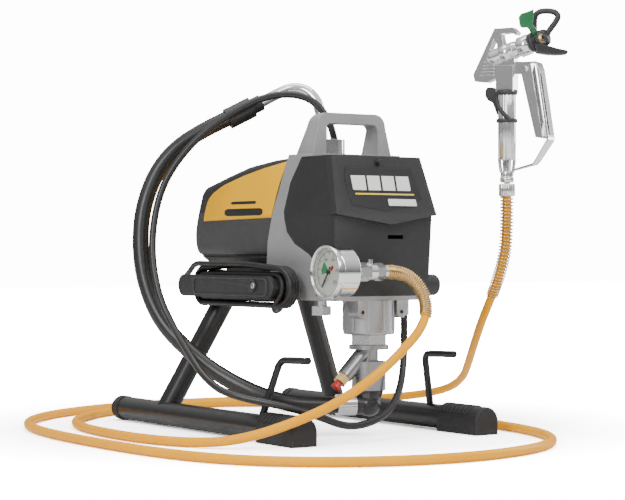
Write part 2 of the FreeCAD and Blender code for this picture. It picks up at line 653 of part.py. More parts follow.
def gear_blank(name, teeth, phase, height, front, rear):
    """A spur gear on a Y-parallel axis at X = 0."""
    wire = gear_outline(teeth, phase)
    shape = Part.Face(wire).extrude(Vector(0, 0, float(rear) - float(front)))
    shape.Placement = Placement(Vector(0, float(rear), float(height)), TOWARDS["-y"])
    return shape_feature(name, shape)


def make_motor():
    stator = cylinder("stator_body", size.stator_radius, size.stator_rear - size.stator_front,
                      (0, size.stator_front, size.motor_height), "+y")
    bore = cylinder("stator_bore", size.stator_bore, size.stator_rear - size.stator_front + 2,
                    (0, size.stator_front - 1, size.motor_height), "+y")
    node("motor_stator", cut("motor_stator", stator, bore))
    core = cylinder("armature_core", size.armature_radius, size.armature_rear - size.armature_front,
                    (0, size.armature_front, size.motor_height), "+y")
    shaft = cylinder("armature_shaft", size.shaft_radius, size.shaft_rear - size.gear_rear - 2,
                     (0, size.gear_rear + 2, size.motor_height), "+y")
    pinion = gear_blank("armature_pinion", DIMENSIONS["pinion_teeth"], -math.pi / 2, size.motor_height,
                        size.pinion_front, size.gear_rear + 4)
    node("armature", join("armature", core, shaft, pinion))
    hub = cylinder("fan_hub", 16, size.fan_rear - size.fan_front, (0, size.fan_front, size.motor_height),
                   "+y")
    disc = cylinder("fan_disc", size.fan_radius, 3, (0, size.fan_rear - 3, size.motor_height), "+y")
    blades = [hub, disc]
    for i in range(9):
        blades.append(turned_block("fan_blade_%d" % i, (-1.2, 0, 0),
                                   (1.2, size.fan_rear - size.fan_front - 2, size.fan_radius),
                                   (0, size.fan_front, size.motor_height), Rotation(Vector(0, 1, 0), 40 * i)))
    solid = join("fan_solid", *blades)
    bore = cylinder("fan_bore", size.shaft_radius, 40, (0, size.fan_front - 10, size.motor_height), "+y")
    node("cooling_fan", cut("cooling_fan", solid, bore))


def make_crank():
    gear = gear_blank("gear_blank", DIMENSIONS["gear_teeth"],
                      math.pi / 2 + math.pi / DIMENSIONS["gear_teeth"], size.crank_height,
                      size.gear_front, size.gear_rear)
    bore = cylinder("gear_bore", size.shaft_radius, 40, (0, size.gear_front - 10, size.crank_height), "+y")
    lightening = [cylinder("gear_window_%d" % i, 9, 40,
                           (26 * math.cos(math.radians(60 * i)), size.gear_front - 10,
                            size.crank_height + 26 * math.sin(math.radians(60 * i))), "+y") for i in range(6)]
    node("drive_gear", cut("drive_gear", gear, bore, *lightening))
    shaft = cylinder("crank_shaft", size.shaft_radius, size.crank_rear - size.web_rear,
                     (0, size.web_rear, size.crank_height), "+y")
    web = cylinder("crank_web", size.web_radius, size.web_rear - size.web_front,
                   (0, size.web_front, size.crank_height), "+y")
    pin = cylinder("crank_pin", size.crank_pin_radius, size.web_front - size.crank_pin_front,
                   (0, size.crank_pin_front, size.crank_height - size.crank_throw), "+y")
    node("crankshaft", join("crankshaft", shaft, web, pin))


def make_rod_and_piston():
    """The rod hangs between the crank pin and the crosshead; its big eye stands just in front of the pin."""
    eye_z = size.crank_height - size.crank_throw
    wrist_z = eye_z - size.rod_length
    low_y = size.pump_y - size.rod_half_width
    width = size.rod_half_width * 2
    big = cylinder("rod_big_eye", size.rod_big_eye, width, (0, low_y, eye_z), "+y")
    small = cylinder("rod_small_eye", size.rod_small_eye, width, (0, low_y, wrist_z), "+y")
    shank = block("rod_shank", (-6, low_y + 1, wrist_z), (6, low_y + width - 1, eye_z))
    big_bore = cylinder("rod_big_bore", size.rod_bore, width + 4, (0, low_y - 2, eye_z), "+y")
    small_bore = cylinder("rod_small_bore", size.wrist_radius + size.shaft_clearance, width + 4,
                          (0, low_y - 2, wrist_z), "+y")
    node("connecting_rod", cut("connecting_rod", join("rod_solid", big, small, shank), big_bore, small_bore))
    crosshead = cylinder("piston_crosshead", size.crosshead_radius,
                         size.crosshead_top - size.crosshead_bottom,
                         (0, size.pump_y, size.crosshead_bottom))
    fork = block("piston_fork", (-20, low_y - 0.4, wrist_z - size.rod_small_eye - 1.5),
                 (20, low_y + width + 0.4, size.crosshead_top + 5))
    wrist = cylinder("piston_wrist", size.wrist_radius, size.crosshead_radius * 1.6,
                     (0, size.pump_y - size.crosshead_radius * 0.8, wrist_z), "+y")
    stem = cylinder("piston_stem", size.piston_radius, size.crosshead_bottom - size.piston_bottom,
                    (0, size.pump_y, size.piston_bottom))
    node("piston_rod", join("piston_rod", cut("piston_forked", crosshead, fork), wrist, stem))


# ---------------------------------------------------------------- pump

def make_pump_housing():
    """Light alloy housing below the casing, with two screw lugs, ribs and a guide bore."""
    barrel = cylinder("housing_barrel", size.housing_radius, size.housing_top - size.housing_bottom,
                      (0, size.pump_y, size.housing_bottom))
    soft = rounded("housing_soft", barrel, 3,
                   lambda e: abs(e.CenterOfMass.z - float(size.housing_bottom)) < 0.1)
    lugs = []
    for side in (-1, 1):
        centre = size.lug_x * side
        tab = block("lug_tab_%d" % side, (centre - size.lug_half_width, size.lug_front,
                                          size.lug_bottom + size.lug_half_width),
                    (centre + size.lug_half_width, -186, size.housing_top))
        tip = cylinder("lug_tip_%d" % side, size.lug_half_width, size.lug_front * -1 - 186,
                       (centre, size.lug_front, size.lug_bottom + size.lug_half_width), "+y")
        lugs += [tab, tip]
    ribs = []
    for i, angle in enumerate((200, 235, 270, 305, 340, 20, 60, 120, 160)):
        ribs.append(turned_block("housing_rib_%d" % i, (0, -1.5, 0),
                                 (size.housing_radius + 1.6, 1.5, size.housing_top - size.housing_bottom - 6),
                                 (0, size.pump_y, size.housing_bottom + 6), Rotation(Vector(0, 0, 1), angle)))
    solid = join("housing_solid", soft, *lugs, *ribs)
    room = cylinder("housing_room", size.housing_bore, size.housing_top - size.housing_bore_bottom + 1,
                    (0, size.pump_y, size.housing_bore_bottom))
    guide = cylinder("housing_guide", size.piston_radius + size.shaft_clearance, 60,
                     (0, size.pump_y, size.housing_bottom - 10))
    holes = [cylinder("lug_hole_%d" % side, size.lug_hole_radius, 24,
                      (size.lug_x * side, size.lug_front - 1, size.lug_hole_z), "+y") for side in (-1, 1)]
    node("pump_housing", cut("pump_housing", solid, room, guide, *holes))


def make_lock_nut():
    nut = hexagon("lock_nut_hex", size.nut_radius, size.nut_top - size.nut_bottom,
                  (0, size.pump_y, size.nut_bottom))
    bore = cylinder("lock_nut_bore", size.piston_radius + 4, 40, (0, size.pump_y, size.nut_bottom - 10))
    node("lock_nut", cut("lock_nut", nut, bore))


PUSHER_DIRECTION = Vector(-1, 0, -1)


def along_boss(distance):
    """A point on the inlet boss's axis, which slopes down to the left from the cylinder."""
    drop = sized(distance) * math.sqrt(0.5)
    return (-drop - 8, size.pump_y, size.boss_start_z - drop)


def make_pump_cylinder():
    collar = cylinder("cylinder_collar", size.collar_radius, size.nut_bottom - size.collar_bottom,
                      (0, size.pump_y, size.collar_bottom))
    barrel = cylinder("cylinder_barrel", size.barrel_radius, size.collar_bottom - size.barrel_bottom,
                      (0, size.pump_y, size.barrel_bottom))
    body = cylinder("cylinder_body", size.cylinder_radius, size.barrel_bottom - size.cylinder_bottom,
                    (0, size.pump_y, size.cylinder_bottom))
    boss = cylinder("cylinder_boss", size.boss_radius, size.boss_length, along_boss(0), PUSHER_DIRECTION)
    bore = cylinder("cylinder_bore", size.cylinder_bore, 100, (0, size.pump_y, size.cylinder_bottom + 6))
    node("pump_cylinder", cut("pump_cylinder", join("cylinder_solid", collar, barrel, body, boss), bore))


def make_inlet_pusher():
    nut = hexagon("pusher_nut_hex", size.pusher_nut_radius, size.pusher_nut_length,
                  along_boss(size.boss_length), PUSHER_DIRECTION)
    bore = cylinder("pusher_nut_bore", size.pusher_radius + 0.3, 30, along_boss(size.boss_length - 5),
                    PUSHER_DIRECTION)
    node("pusher_nut", cut("pusher_nut", nut, bore))
    stem = cylinder("pusher_stem", size.pusher_radius, size.pusher_length,
                    along_boss(size.boss_length + 4.6), PUSHER_DIRECTION)
    head = cylinder("pusher_head", size.pusher_cap_radius, 5,
                    along_boss(size.boss_length + size.pusher_nut_length + 4.6), PUSHER_DIRECTION)
    node("inlet_pusher", join("inlet_pusher", stem, head))


def make_suction_elbow():
    """Black elbow under the pump; its arm and union nut point left and a little back."""
    rim = cone("elbow_rim", size.rim_radius - 4, size.rim_radius, 10, (0, size.pump_y, size.elbow_top - 10))
    drop = cylinder("elbow_drop", size.elbow_radius - 1, size.elbow_top - size.elbow_height - 6,
                    (0, size.pump_y, size.elbow_height))
    knee = document.addObject("Part::Sphere", "elbow_knee")
    bind(knee, "Radius", size.elbow_radius)
    put(knee, (0, size.pump_y, size.elbow_height))
    turn = math.radians(float(size.elbow_turn))
    heading = Vector(-math.cos(turn), math.sin(turn), 0)
    arm = cylinder("elbow_arm", size.elbow_radius - 3, size.suction_nut_start,
                   (0, size.pump_y, size.elbow_height), heading)
    node("suction_elbow", join("suction_elbow", rim, drop, knee, arm))
    node("suction_nut", cylinder("suction_nut", size.suction_nut_radius,
                                 size.suction_nut_end - size.suction_nut_start,
                                 (size.suction_nut_start * heading.x,
                                  size.pump_y + size.suction_nut_start * heading.y, size.elbow_height),
                                  heading))


# ---------------------------------------------------------------- controls

def make_controls():
    grip = cylinder("knob_grip", size.knob_radius, size.knob_end - size.knob_start,
                    (size.knob_start, size.knob_y, size.knob_z), "+x")
    soft = rounded("knob_soft", grip, 4, lambda e: abs(e.CenterOfMass.x - float(size.knob_end)) < 0.1)
    shaft = cylinder("knob_shaft", size.knob_shaft_radius, size.knob_start - 60,
                     (60, size.knob_y, size.knob_z), "+x")
    node("pressure_knob", join("pressure_knob", soft, shaft))
    node("prime_valve", cylinder("prime_valve", size.valve_radius, size.valve_end - size.valve_start,
                                 (size.valve_start, size.valve_y, size.valve_z), "+x"))
    hub = cylinder("lever_hub", size.valve_radius - 1, size.lever_hub_end - size.valve_end,
                   (size.valve_end, size.valve_y, size.valve_z), "+x")
    arm = block("lever_arm", (size.valve_end + 3, size.valve_y - size.lever_half_width,
                              size.valve_z - size.lever_reach),
                (size.lever_hub_end, size.valve_y + size.lever_half_width, size.valve_z))
    node("prime_lever", join("prime_lever", hub, arm))
    node("return_fitting", cylinder("return_fitting", size.return_radius,
                                    size.housing_top - size.return_bottom,
                                    (size.return_x, size.return_y, size.return_bottom)))
    stem = cylinder("sensor_stem", size.sensor_stem, size.housing_top - size.sensor_nut_top,
                    (size.sensor_x, size.sensor_y, size.sensor_nut_top))
    head = hexagon("sensor_head", size.sensor_nut, size.sensor_nut_top - size.sensor_nut_bottom,
                   (size.sensor_x, size.sensor_y, size.sensor_nut_bottom))
    node("pressure_sensor", join("pressure_sensor", stem, head))
    rocker = prism("power_switch", [(-size.rocker_half_length, 72), (size.rocker_half_length, 72),
                                    (size.rocker_half_length, 78.2), (0, 76.6),
                                    (-size.rocker_half_length, 80)],
                   "XY", -size.rocker_half_height, size.rocker_half_height * 2)
    frame = Placement(Vector(0, float(size.rocker_y), float(size.rocker_z)), Rotation(Vector(0, 0, 1), -90))
    node("power_switch", rocker, frame)


# ---------------------------------------------------------------- gauge and outlet

def make_gauge():
    """Dial gauge facing left, on the axis of the outlet fitting."""
    def disc(name, radius, start, length):
        return cylinder(name, radius, length, (start, size.gauge_y, size.gauge_z), "+x")

    body = disc("gauge_body", size.gauge_radius, size.gauge_face + size.bezel_depth,
                size.gauge_back - size.gauge_face - size.bezel_depth)
    bezel = disc("gauge_bezel", size.bezel_radius, size.gauge_face, size.bezel_depth)
    soft = rounded("gauge_soft", join("gauge_solid", body, bezel), 2.5,
                   lambda e: abs(e.CenterOfMass.x - float(size.gauge_back)) < 0.1
                   or abs(e.CenterOfMass.x - float(size.gauge_face)) < 0.1)
    hollow = disc("gauge_hollow", size.glass_radius, size.gauge_face - 1, size.dial_x - size.gauge_face + 2)
    node("gauge_case", cut("gauge_case", soft, hollow))
    node("gauge_glass", disc("gauge_glass", size.glass_radius, size.glass_x, 1.4))
    node("gauge_dial", disc("gauge_dial", size.glass_radius, size.dial_x, size.dial_thick))
    pointer = turned_block("needle_pointer", (0, -0.9, -size.needle_tail), (0.8, 0.9, size.needle_length),
                           (size.needle_x, size.gauge_y, size.gauge_z), Rotation(Vector(1, 0, 0), -145))
    hub = disc("needle_hub", size.hub_radius, size.needle_x - 0.3, size.dial_x - size.needle_x)
    node("gauge_needle", join("gauge_needle", pointer, hub))


def make_outlet_fitting():
    def piece(kind, name, radius, start, end):
        return kind(name, radius, sized(end) - start, (start, size.gauge_y, size.gauge_z), "+x")

    parts = [piece(cylinder, "outlet_neck", 6, size.gauge_back, -58),
             piece(hexagon, "outlet_hex", 12, -61, -46),
             piece(cylinder, "outlet_body", 10.5, -46, -36),
             piece(hexagon, "outlet_hose_hex", 11.5, -36, -24),
             piece(cylinder, "outlet_collar", 9, -24, size.fitting_end),
             cylinder("outlet_nipple", size.outlet_nipple_radius, 50,
                      (size.outlet_nipple_x, size.gauge_y, size.gauge_z), "+y"),
             cylinder("outlet_bleed", size.bleed_radius, 16, (-42, size.gauge_y, size.gauge_z))]
    node("outlet_fitting", join("outlet_fitting", *parts))


# ---------------------------------------------------------------- cord wrap and power cord

def stadium(name, front, rear, half_height, start, end):
    """A slab with round ends, lying along Y, between two X planes."""
    slab = block(name + "_slab", (start, front, size.wrap_z - half_height),
                 (end, rear, size.wrap_z + half_height))
    return rounded(name, slab, half_height - size.end_flat,
                   lambda e: abs(e.Vertexes[0].X - e.Vertexes[-1].X) > 1)


def make_cord_wrap():
    """Core and outer face of the wrap, on a base plate with a shelf that holds the plug."""
    core = stadium("wrap_core", size.wrap_front, size.wrap_rear, size.core_half_height,
                   size.wrap_core_outer, size.wrap_inner)
    face = stadium("wrap_outer_face", size.wrap_front, size.cap_rear_y, size.face_half_height,
                   size.wrap_face, size.wrap_core_outer)
    base = block("wrap_base", (size.wrap_inner, -60, 184), (size.wrap_inner + 4, size.wrap_rear, 212))
    shelf = block("wrap_shelf", (size.wrap_inner, -60, 181), (-size.bracket_half_width, 50, 184))
    hole = cylinder("wrap_screw_hole", 4, 8, (size.wrap_face - 1, -87, size.wrap_z + 2), "+x")
    node("cord_wrap", cut("cord_wrap", join("wrap_solid", core, face, base, shelf), hole))


def bulged_ring(name, front, rear, half_ends, bulge, x_start, x_end):
    """Closed outline of four arcs in the YZ plane, extruded along X."""
    z = float(size.wrap_z)
    middle_y = (front + rear) / 2
    corners = [Vector(0, front + 14, z + half_ends), Vector(0, rear - 14, z + half_ends),
               Vector(0, rear - 14, z - half_ends), Vector(0, front + 14, z - half_ends)]
    crowns = [Vector(0, middle_y, z + half_ends + bulge), Vector(0, rear, z),
              Vector(0, middle_y, z - half_ends - bulge * 0.4), Vector(0, front, z)]
    arcs = [Part.Arc(corners[i], crowns[i], corners[(i + 1) % 4]).toShape() for i in range(4)]
    face = Part.Face(Part.Wire(arcs))
    face.translate(Vector(x_start, 0, 0))
    return face.extrude(Vector(x_end - x_start, 0, 0))


COIL_SPAN = {"front": -166.0, "rear": 104.0, "x_start": -117.5, "x_end": -92.5}
LEAD_ROUTE = [
    (-22, 142, 206), (-22, 158, 206), (-31, 173, 206), (-50, 181, 206), (-72, 178, 205),
    (-89, 164, 203), (-98, 143, 200), (-103, 122, 198), (-105, 104.3, 197)]
TAIL_ROUTE = [(-89.5, -148, 175), (-80, -127, 174.5), (-71.5, -104, 175), (-66, -86, 184),
              (-63.2, -70, 195), (-62.5, -56, 200), (-62.5, -44, 200)]


def make_power_cord():
    outer = bulged_ring("coil_outer", COIL_SPAN["front"], COIL_SPAN["rear"], 21, 12,
                        COIL_SPAN["x_start"], COIL_SPAN["x_end"])
    inner = bulged_ring("coil_inner", COIL_SPAN["front"] + 27, COIL_SPAN["rear"] - 20, 12.6, 0.6,
                        COIL_SPAN["x_start"] - 1, COIL_SPAN["x_end"] + 1)
    node("power_cord_coil", shape_feature("power_cord_coil", outer.cut(inner)))
    lead, _ = cord("lead_tube", LEAD_ROUTE, size.cord_radius)
    tail, _ = cord("tail_tube", TAIL_ROUTE, size.cord_radius)
    node("power_cord_lead", join("power_cord_lead", lead, tail))
    node("cord_gland", cone("cord_gland", size.gland_radius, size.cord_radius + 0.9, size.gland_length,
                            (size.gland_x, size.bracket_rear, size.gland_z), "+y"))
    x, y, z = TAIL_ROUTE[-1]
    neck = cone("plug_neck", 6, 12, 14, (x, y, z), "+y")
    grip = cylinder("plug_grip", 16, 30, (x, y + 14, z), "+y")
    pins = [cylinder("plug_pin_%d" % side, 2.4, 19, (x + 9.5 * side, y + 44, z), "+y") for side in (-1, 1)]
    node("power_plug", join("power_plug", neck, grip, *pins))


# ---------------------------------------------------------------- hoses

PAINT_HOSE_ROUTE = [
    (-19, -241, 218), (5, -241, 218), (26.5, -244.5, 206), (38, -251, 185), (34, -259, 161),
    (16, -266, 140), (-12, -274, 121), (-45, -279.5, 98), (-84, -279, 74), (-124, -270, 51),
    (-164, -256, 34), (-203, -236, 19), (-236, -208, 9), (-263, -172, 6.5), (-282, -128, 6.5),
    (-292, -72, 6.5), (-293, -8, 6.5), (-288, 60, 6.5), (-274, 124, 6.5), (-248, 184, 6.5),
    (-206, 238, 6.5), (-152, 286, 6.5), (-90, 322, 6.5), (-22, 346, 6.5), (48, 352, 6.5),
    (116, 334, 6.5), (168, 288, 6.5), (202, 226, 6.5), (222, 156, 6.5), (230, 84, 6.5), (231, 10, 6.5),
    (227, -62, 6.5), (218.5, -134, 6.5), (206, -204, 6.5), (194, -272, 6.5), (170, -338, 6.5),
    (130, -398, 6.5), (74, -446, 6.5), (6, -476, 6.5), (-66, -492, 6.5), (-138, -490, 6.5),
    (-206, -470, 6.5), (-268, -434, 6.5), (-316, -382, 6.5), (-344, -316, 6.5), (-357, -244, 6.5),
    (-362, -170, 6.5), (-363, -96, 6.5), (-362, -22, 6.5), (-356, 52, 6.5), (-343, 124, 6.5),
    (-318, 192, 6.5), (-276, 254, 6.5), (-218, 306, 6.5), (-150, 346, 6.5), (-76, 372, 6.5),
    (0, 384, 6.5), (76, 382, 6.5), (150, 368, 6.5), (220, 344, 6.5), (286, 312, 6.5), (346, 270, 8),
    (386, 216, 16), (390, 150, 30), (362, 82, 52), (322, 18, 80), (282, -46, 112), (250, -104, 148),
    (233, -152, 190), (230, -179, 238), (230.2, -182.6, 284), (230, -183, 319.7)]
SUCTION_HOSE_ROUTE = [
    (-41.35, -162.95, 43), (-76, -150.3, 43), (-112, -133, 48.5), (-143, -105, 63),
    (-170.6, -64.4, 86.7), (-193.4, -27.6, 117.4), (-211.5, 2.4, 150), (-220.5, 27.6, 195),
    (-222, 43, 248.7), (-212.8, 50.1, 308.3), (-186.6, 47.1, 365.7), (-142, 29.4, 407.1),
    (-84.6, 0.3, 435.6)]
SUCTION_PIPE_ROUTE = [
    (-84.6, 0.3, 435.6), (-60.5, -10.2, 449), (-42.9, -20.8, 460), (-26.3, -33, 468.9),
    (-10.8, -46.9, 465.2), (-2.7, -59.5, 449.7), (-0.6, -67.4, 428.8), (-1, -69, 408), (-1, -69, 377)]
RETURN_HOSE_ROUTE = [
    (49, -190, 160), (49, -190, 132), (44, -196, 98), (30, -208, 66), (6, -222, 40), (-30, -230, 24),
    (-72, -232, 20), (-112, -226, 36), (-146, -206, 48), (-199.7, -148.3, 61.6),
    (-207.3, -106.1, 79.9), (-208.8, -70.2, 107.9), (-213.3, -38.4, 140.8), (-219.9, -10, 179.7),
    (-221.5, 9.1, 230), (-214.6, 18.9, 283.5), (-198.5, 20.2, 336.1), (-168.3, 10.9, 382.3),
    (-133.2, -4, 416.5), (-99.1, -20.7, 439.9), (-70.4, -36.1, 454.4), (-41.5, -54.1, 458.5),
    (-18.9, -69.1, 451.1), (-3.7, -80.5, 432), (7, -84.5, 408), (12, -85, 380)]


def make_hoses():
    hose, edges = cord("paint_hose", PAINT_HOSE_ROUTE, size.paint_hose_radius)
    node("paint_hose", hose)
    node("outlet_spring", tube("outlet_spring", edges[:6], size.spring_outer, size.spring_inner))
    gun_edges = list(reversed(edges[-7:]))
    reversed_edges = [reverse_edge(edge) for edge in gun_edges]
    node("gun_spring", tube("gun_spring", reversed_edges, size.gun_spring_outer, size.spring_inner))
    hose, _ = cord("suction_hose", SUCTION_HOSE_ROUTE, size.suction_hose_radius)
    node("suction_hose", hose)
    pipe, pipe_edges = cord("suction_pipe", SUCTION_PIPE_ROUTE, size.suction_pipe_radius)
    node("suction_pipe", pipe)
    bore, _ = cord("cuff_bore", SUCTION_PIPE_ROUTE, size.suction_pipe_radius + size.cuff_clearance)
    node("hose_cuff", cut("hose_cuff", cuff_sleeve(), bore))
    hose, _ = cord("return_hose", RETURN_HOSE_ROUTE, size.return_hose_radius)
    node("return_hose", hose)


def reverse_edge(edge):
    """The same line or arc, run from its other end."""
    first = edge.valueAt(edge.LastParameter)
    last = edge.valueAt(edge.FirstParameter)
    middle = edge.valueAt((edge.FirstParameter + edge.LastParameter) / 2)
    if edge.Curve.TypeId == "Part::GeomLine":
        return Part.LineSegment(first, last).toShape()
    return Part.Arc(first, middle, last).toShape()


def cuff_sleeve():
    """Stepped sleeve over the joint of the suction hose and its pipe."""
    joint = Vector(*SUCTION_PIPE_ROUTE[0])
    direction = (Vector(*SUCTION_PIPE_ROUTE[1]) - joint).normalize()
    start = joint - direction * 24
    outer = Part.makeCylinder(float(size.cuff_radius), 38, start, direction)
    inner = Part.makeCylinder(float(size.cuff_inner), 24, start, direction)
    ferrule = Part.makeCylinder(float(size.cuff_inner), 14, joint + direction * 14, direction)
    return shape_feature("cuff_sleeve", outer.fuse(ferrule).cut(inner))


def make_drip_cup():
    wall = cylinder("cup_wall", size.cup_radius, size.cup_top - size.cup_bottom,
                    (size.cup_x, size.cup_y, size.cup_bottom))
    hollow = cylinder("cup_hollow", size.cup_radius - size.cup_wall, size.cup_top - size.cup_bottom,
                      (size.cup_x, size.cup_y, size.cup_bottom + size.cup_wall))
    node("drip_cup", cut("drip_cup", wall, hollow))


# ---------------------------------------------------------------- spray gun

def gun_frame():
    return Placement(Vector(float(size.gun_x), float(size.gun_y), 0),
                     Rotation(Vector(0, 0, 1), float(size.gun_turn)))


def barrel_frame():
    """X runs out along the sloping barrel, from behind the gun's head."""
    tilt = Placement(Vector(float(size.barrel_x), 0, float(size.barrel_z)),
                     Rotation(Vector(0, 1, 0), -float(size.barrel_slope)))
    return gun_frame().multiply(tilt)


def make_gun_handle():
    grip = cylinder("gun_grip", size.grip_radius, size.grip_top - size.grip_bottom, (0, 0, size.grip_bottom))
    taper = cone("gun_taper", 8, size.grip_radius, size.grip_bottom - size.grip_cone_bottom,
                 (0, 0, size.grip_cone_bottom))
    nut = hexagon("gun_nut", 10.5, size.grip_cone_bottom - size.grip_end, (0, 0, size.grip_end))
    swivel = cylinder("gun_swivel", size.swivel_radius, size.grip_end - size.swivel_bottom,
                      (0, 0, size.swivel_bottom))
    node("gun_handle", join("gun_handle", grip, taper, nut, swivel), gun_frame())


def gun_prism(name, corners, half_width):
    """An outline in the gun's own side view, symmetric about its middle plane."""
    return prism(name, corners, "XZ", -sized(half_width), sized(half_width) * 2)


def make_gun_body():
    frame = gun_prism("gun_frame_solid", outline["gun_frame"], size.gun_half_width)
    window = gun_prism("gun_frame_window", outline["gun_window"], size.gun_half_width * 2)
    neck = block("gun_neck", (-size.neck_half_depth, -size.neck_half_width, size.grip_top),
                 (size.neck_half_depth, size.neck_half_width, size.neck_top))
    slope = math.radians(DIMENSIONS["barrel_slope"])
    barrel = cylinder("gun_barrel", size.barrel_radius, size.barrel_length, (size.barrel_x, 0, size.barrel_z),
                      Vector(math.cos(slope), 0, math.sin(slope)))
    ear = gun_prism("gun_ear", outline["gun_ear"], size.ear_half_width)
    pin_hole = cylinder("gun_pin_hole", size.trigger_pin_radius + size.shaft_clearance, 40,
                        (size.trigger_x, -20, size.trigger_z), "+y")
    solid = join("gun_head", cut("gun_frame_open", frame, window), neck, barrel, ear)
    node("gun_body", cut("gun_body", solid, pin_hole), gun_frame())


def make_gun_trigger():
    blades = []
    half = size.trigger_half_width
    for side, low in ((-1, -half), (1, half - size.blade_thick)):
        blades.append(prism("trigger_blade_%d" % side, outline["trigger_blade"], "XZ", low, size.blade_thick))
    bridge = block("trigger_bridge", (45.5, -half, 402), (49.5, half, 420))
    pin = cylinder("trigger_pin", size.trigger_pin_radius, half * 2, (size.trigger_x, -half, size.trigger_z),
                   "+y")
    node("gun_trigger", join("gun_trigger", *blades, bridge, pin), gun_frame())


def make_trigger_guard():
    strap = gun_prism("guard_strap", outline["guard_strap"], size.strap_half_width)
    clear = cylinder("guard_clear", size.grip_radius, 30, (0, 0, size.grip_cone_bottom - 5))
    node("trigger_guard", cut("trigger_guard", strap, clear), gun_frame())


def make_trigger_lock():
    """Clip round the handle tube with a thumb tab: swung forward, it stops behind the trigger."""
    half = size.lock_half_width
    band_high = cylinder("lock_band_high", size.lock_outer, size.lock_top - size.lock_high,
                         (0, 0, size.lock_high))
    band_low = cylinder("lock_band_low", size.lock_outer, size.lock_low_end - size.lock_low,
                        (0, 0, size.lock_low))
    spine = block("lock_spine", (-16, -half, size.lock_low + 2), (-11, half, size.lock_high + 2))
    tab = block("lock_tab", (-size.lock_reach, -half, size.lock_high - 10), (-12, half, size.lock_top))
    bore = cylinder("lock_bore", size.lock_inner, 80, (0, 0, 400))
    node("trigger_lock", cut("trigger_lock", join("lock_solid", band_high, band_low, spine, tab), bore),
         gun_frame())


def make_tip_guard():
    """Nut, nozzle block and two forward wings that keep fingers off the tip."""
    nut = hexagon("guard_nut", size.guard_nut_radius, size.guard_nut_end - size.barrel_length - 0.3,
                  (size.barrel_length + 0.3, 0, 0), "+x")
    body = cylinder("guard_body", size.guard_body_radius, size.guard_body_end - size.guard_nut_end,
                    (size.guard_nut_end, 0, 0), "+x")
    wings = []
    for side in (-1, 1):
        strut = prism("guard_wing_%d" % side,
                      [(60, 8 * side), (104, 34 * side), (112, 30 * side), (80, 4 * side)], "XZ", -13, 26)
        gap = prism("guard_gap_%d" % side,
                    [(62, -2 * side), (99, 48 * side), (104, 28 * side), (81, 1 * side)], "XZ", -8, 16)
        wings.append(cut("guard_wing_open_%d" % side, strut, gap))
    bore = cylinder("guard_tip_bore", size.tip_radius + size.shaft_clearance, 60, (size.tip_position, 0, -30))
    mouth = cylinder("guard_mouth", 3.2, 30, (size.tip_position, 0, 0), "+x")
    frame = barrel_frame().multiply(Placement(Vector(), Rotation(Vector(1, 0, 0), float(size.guard_roll))))
    node("tip_guard", cut("tip_guard", join("guard_solid", nut, body, *wings), bore, mouth), frame)
    stem = cylinder("tip_stem", size.tip_radius, size.flag_bottom + 12, (size.tip_position, 0, -10))
    flag = block("tip_flag", (size.tip_position - size.flag_back, -size.flag_half_thick, size.flag_bottom),
                 (size.tip_position + size.flag_front, size.flag_half_thick, size.flag_top))
    node("tip_key", join("tip_key", stem, flag), frame)


# ---------------------------------------------------------------- build, check and write

def build_all():
    make_runners()
    make_legs()
    make_hose_hooks()
    make_foot_caps()
    make_rear_plugs()
    make_base_bracket()
    make_gear_casing()
    make_front_cover()
    make_badge_plate()
    make_motor_shroud()
    make_side_panels()
    make_screws()
    make_motor()
    make_crank()
    make_rod_and_piston()
    make_pump_housing()
    make_lock_nut()
    make_pump_cylinder()
    make_inlet_pusher()
    make_suction_elbow()
    make_controls()
    make_gauge()
    make_outlet_fitting()
    make_cord_wrap()
    make_power_cord()
    make_hoses()
    make_drip_cup()
    make_gun_handle()
    make_gun_body()
    make_gun_trigger()
    make_trigger_guard()
    make_trigger_lock()
    make_tip_guard()


def check_and_export():
    document.recompute()
    for obj in document.Objects:
        if "Invalid" in obj.State or "Error" in obj.State:
            raise RuntimeError("%s failed: %s" % (obj.Name, obj.State))
    for name, obj in nodes.items():
        if obj.Shape.isNull() or not obj.Shape.isValid() or not obj.Shape.Solids:
            raise RuntimeError("%s has no valid solid" % name)
    os.makedirs("parts", exist_ok=True)
    for name, obj in nodes.items():
        obj.Shape.exportStep("parts/%s.step" % name)
    print("%d nodes written" % len(nodes))


build_all()
check_and_export()
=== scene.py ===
"""Looks of the airless paint sprayer: its finishes, cords and fine pieces, around the CAD frame. Metres."""
import math

import bmesh
import bpy
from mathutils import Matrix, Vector


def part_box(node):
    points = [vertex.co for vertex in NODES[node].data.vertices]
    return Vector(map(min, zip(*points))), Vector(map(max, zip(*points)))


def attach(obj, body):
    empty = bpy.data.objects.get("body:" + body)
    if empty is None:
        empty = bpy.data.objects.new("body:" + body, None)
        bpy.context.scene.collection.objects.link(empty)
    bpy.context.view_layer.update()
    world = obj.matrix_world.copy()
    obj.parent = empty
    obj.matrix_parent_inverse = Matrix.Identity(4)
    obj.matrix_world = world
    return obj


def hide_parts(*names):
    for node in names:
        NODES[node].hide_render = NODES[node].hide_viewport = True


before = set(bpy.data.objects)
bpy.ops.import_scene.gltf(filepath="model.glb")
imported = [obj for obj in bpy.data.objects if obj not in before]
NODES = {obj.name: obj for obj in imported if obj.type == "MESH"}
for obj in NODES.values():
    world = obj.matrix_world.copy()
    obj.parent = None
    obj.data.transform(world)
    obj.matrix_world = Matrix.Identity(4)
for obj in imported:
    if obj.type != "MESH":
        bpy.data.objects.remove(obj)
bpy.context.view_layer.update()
MM = 0.001


# ---------------------------------------------------------------- materials

def new_node(tree, kind, **values):
    node = tree.nodes.new(kind)
    for key, value in values.items():
        setattr(node, key, value)
    return node


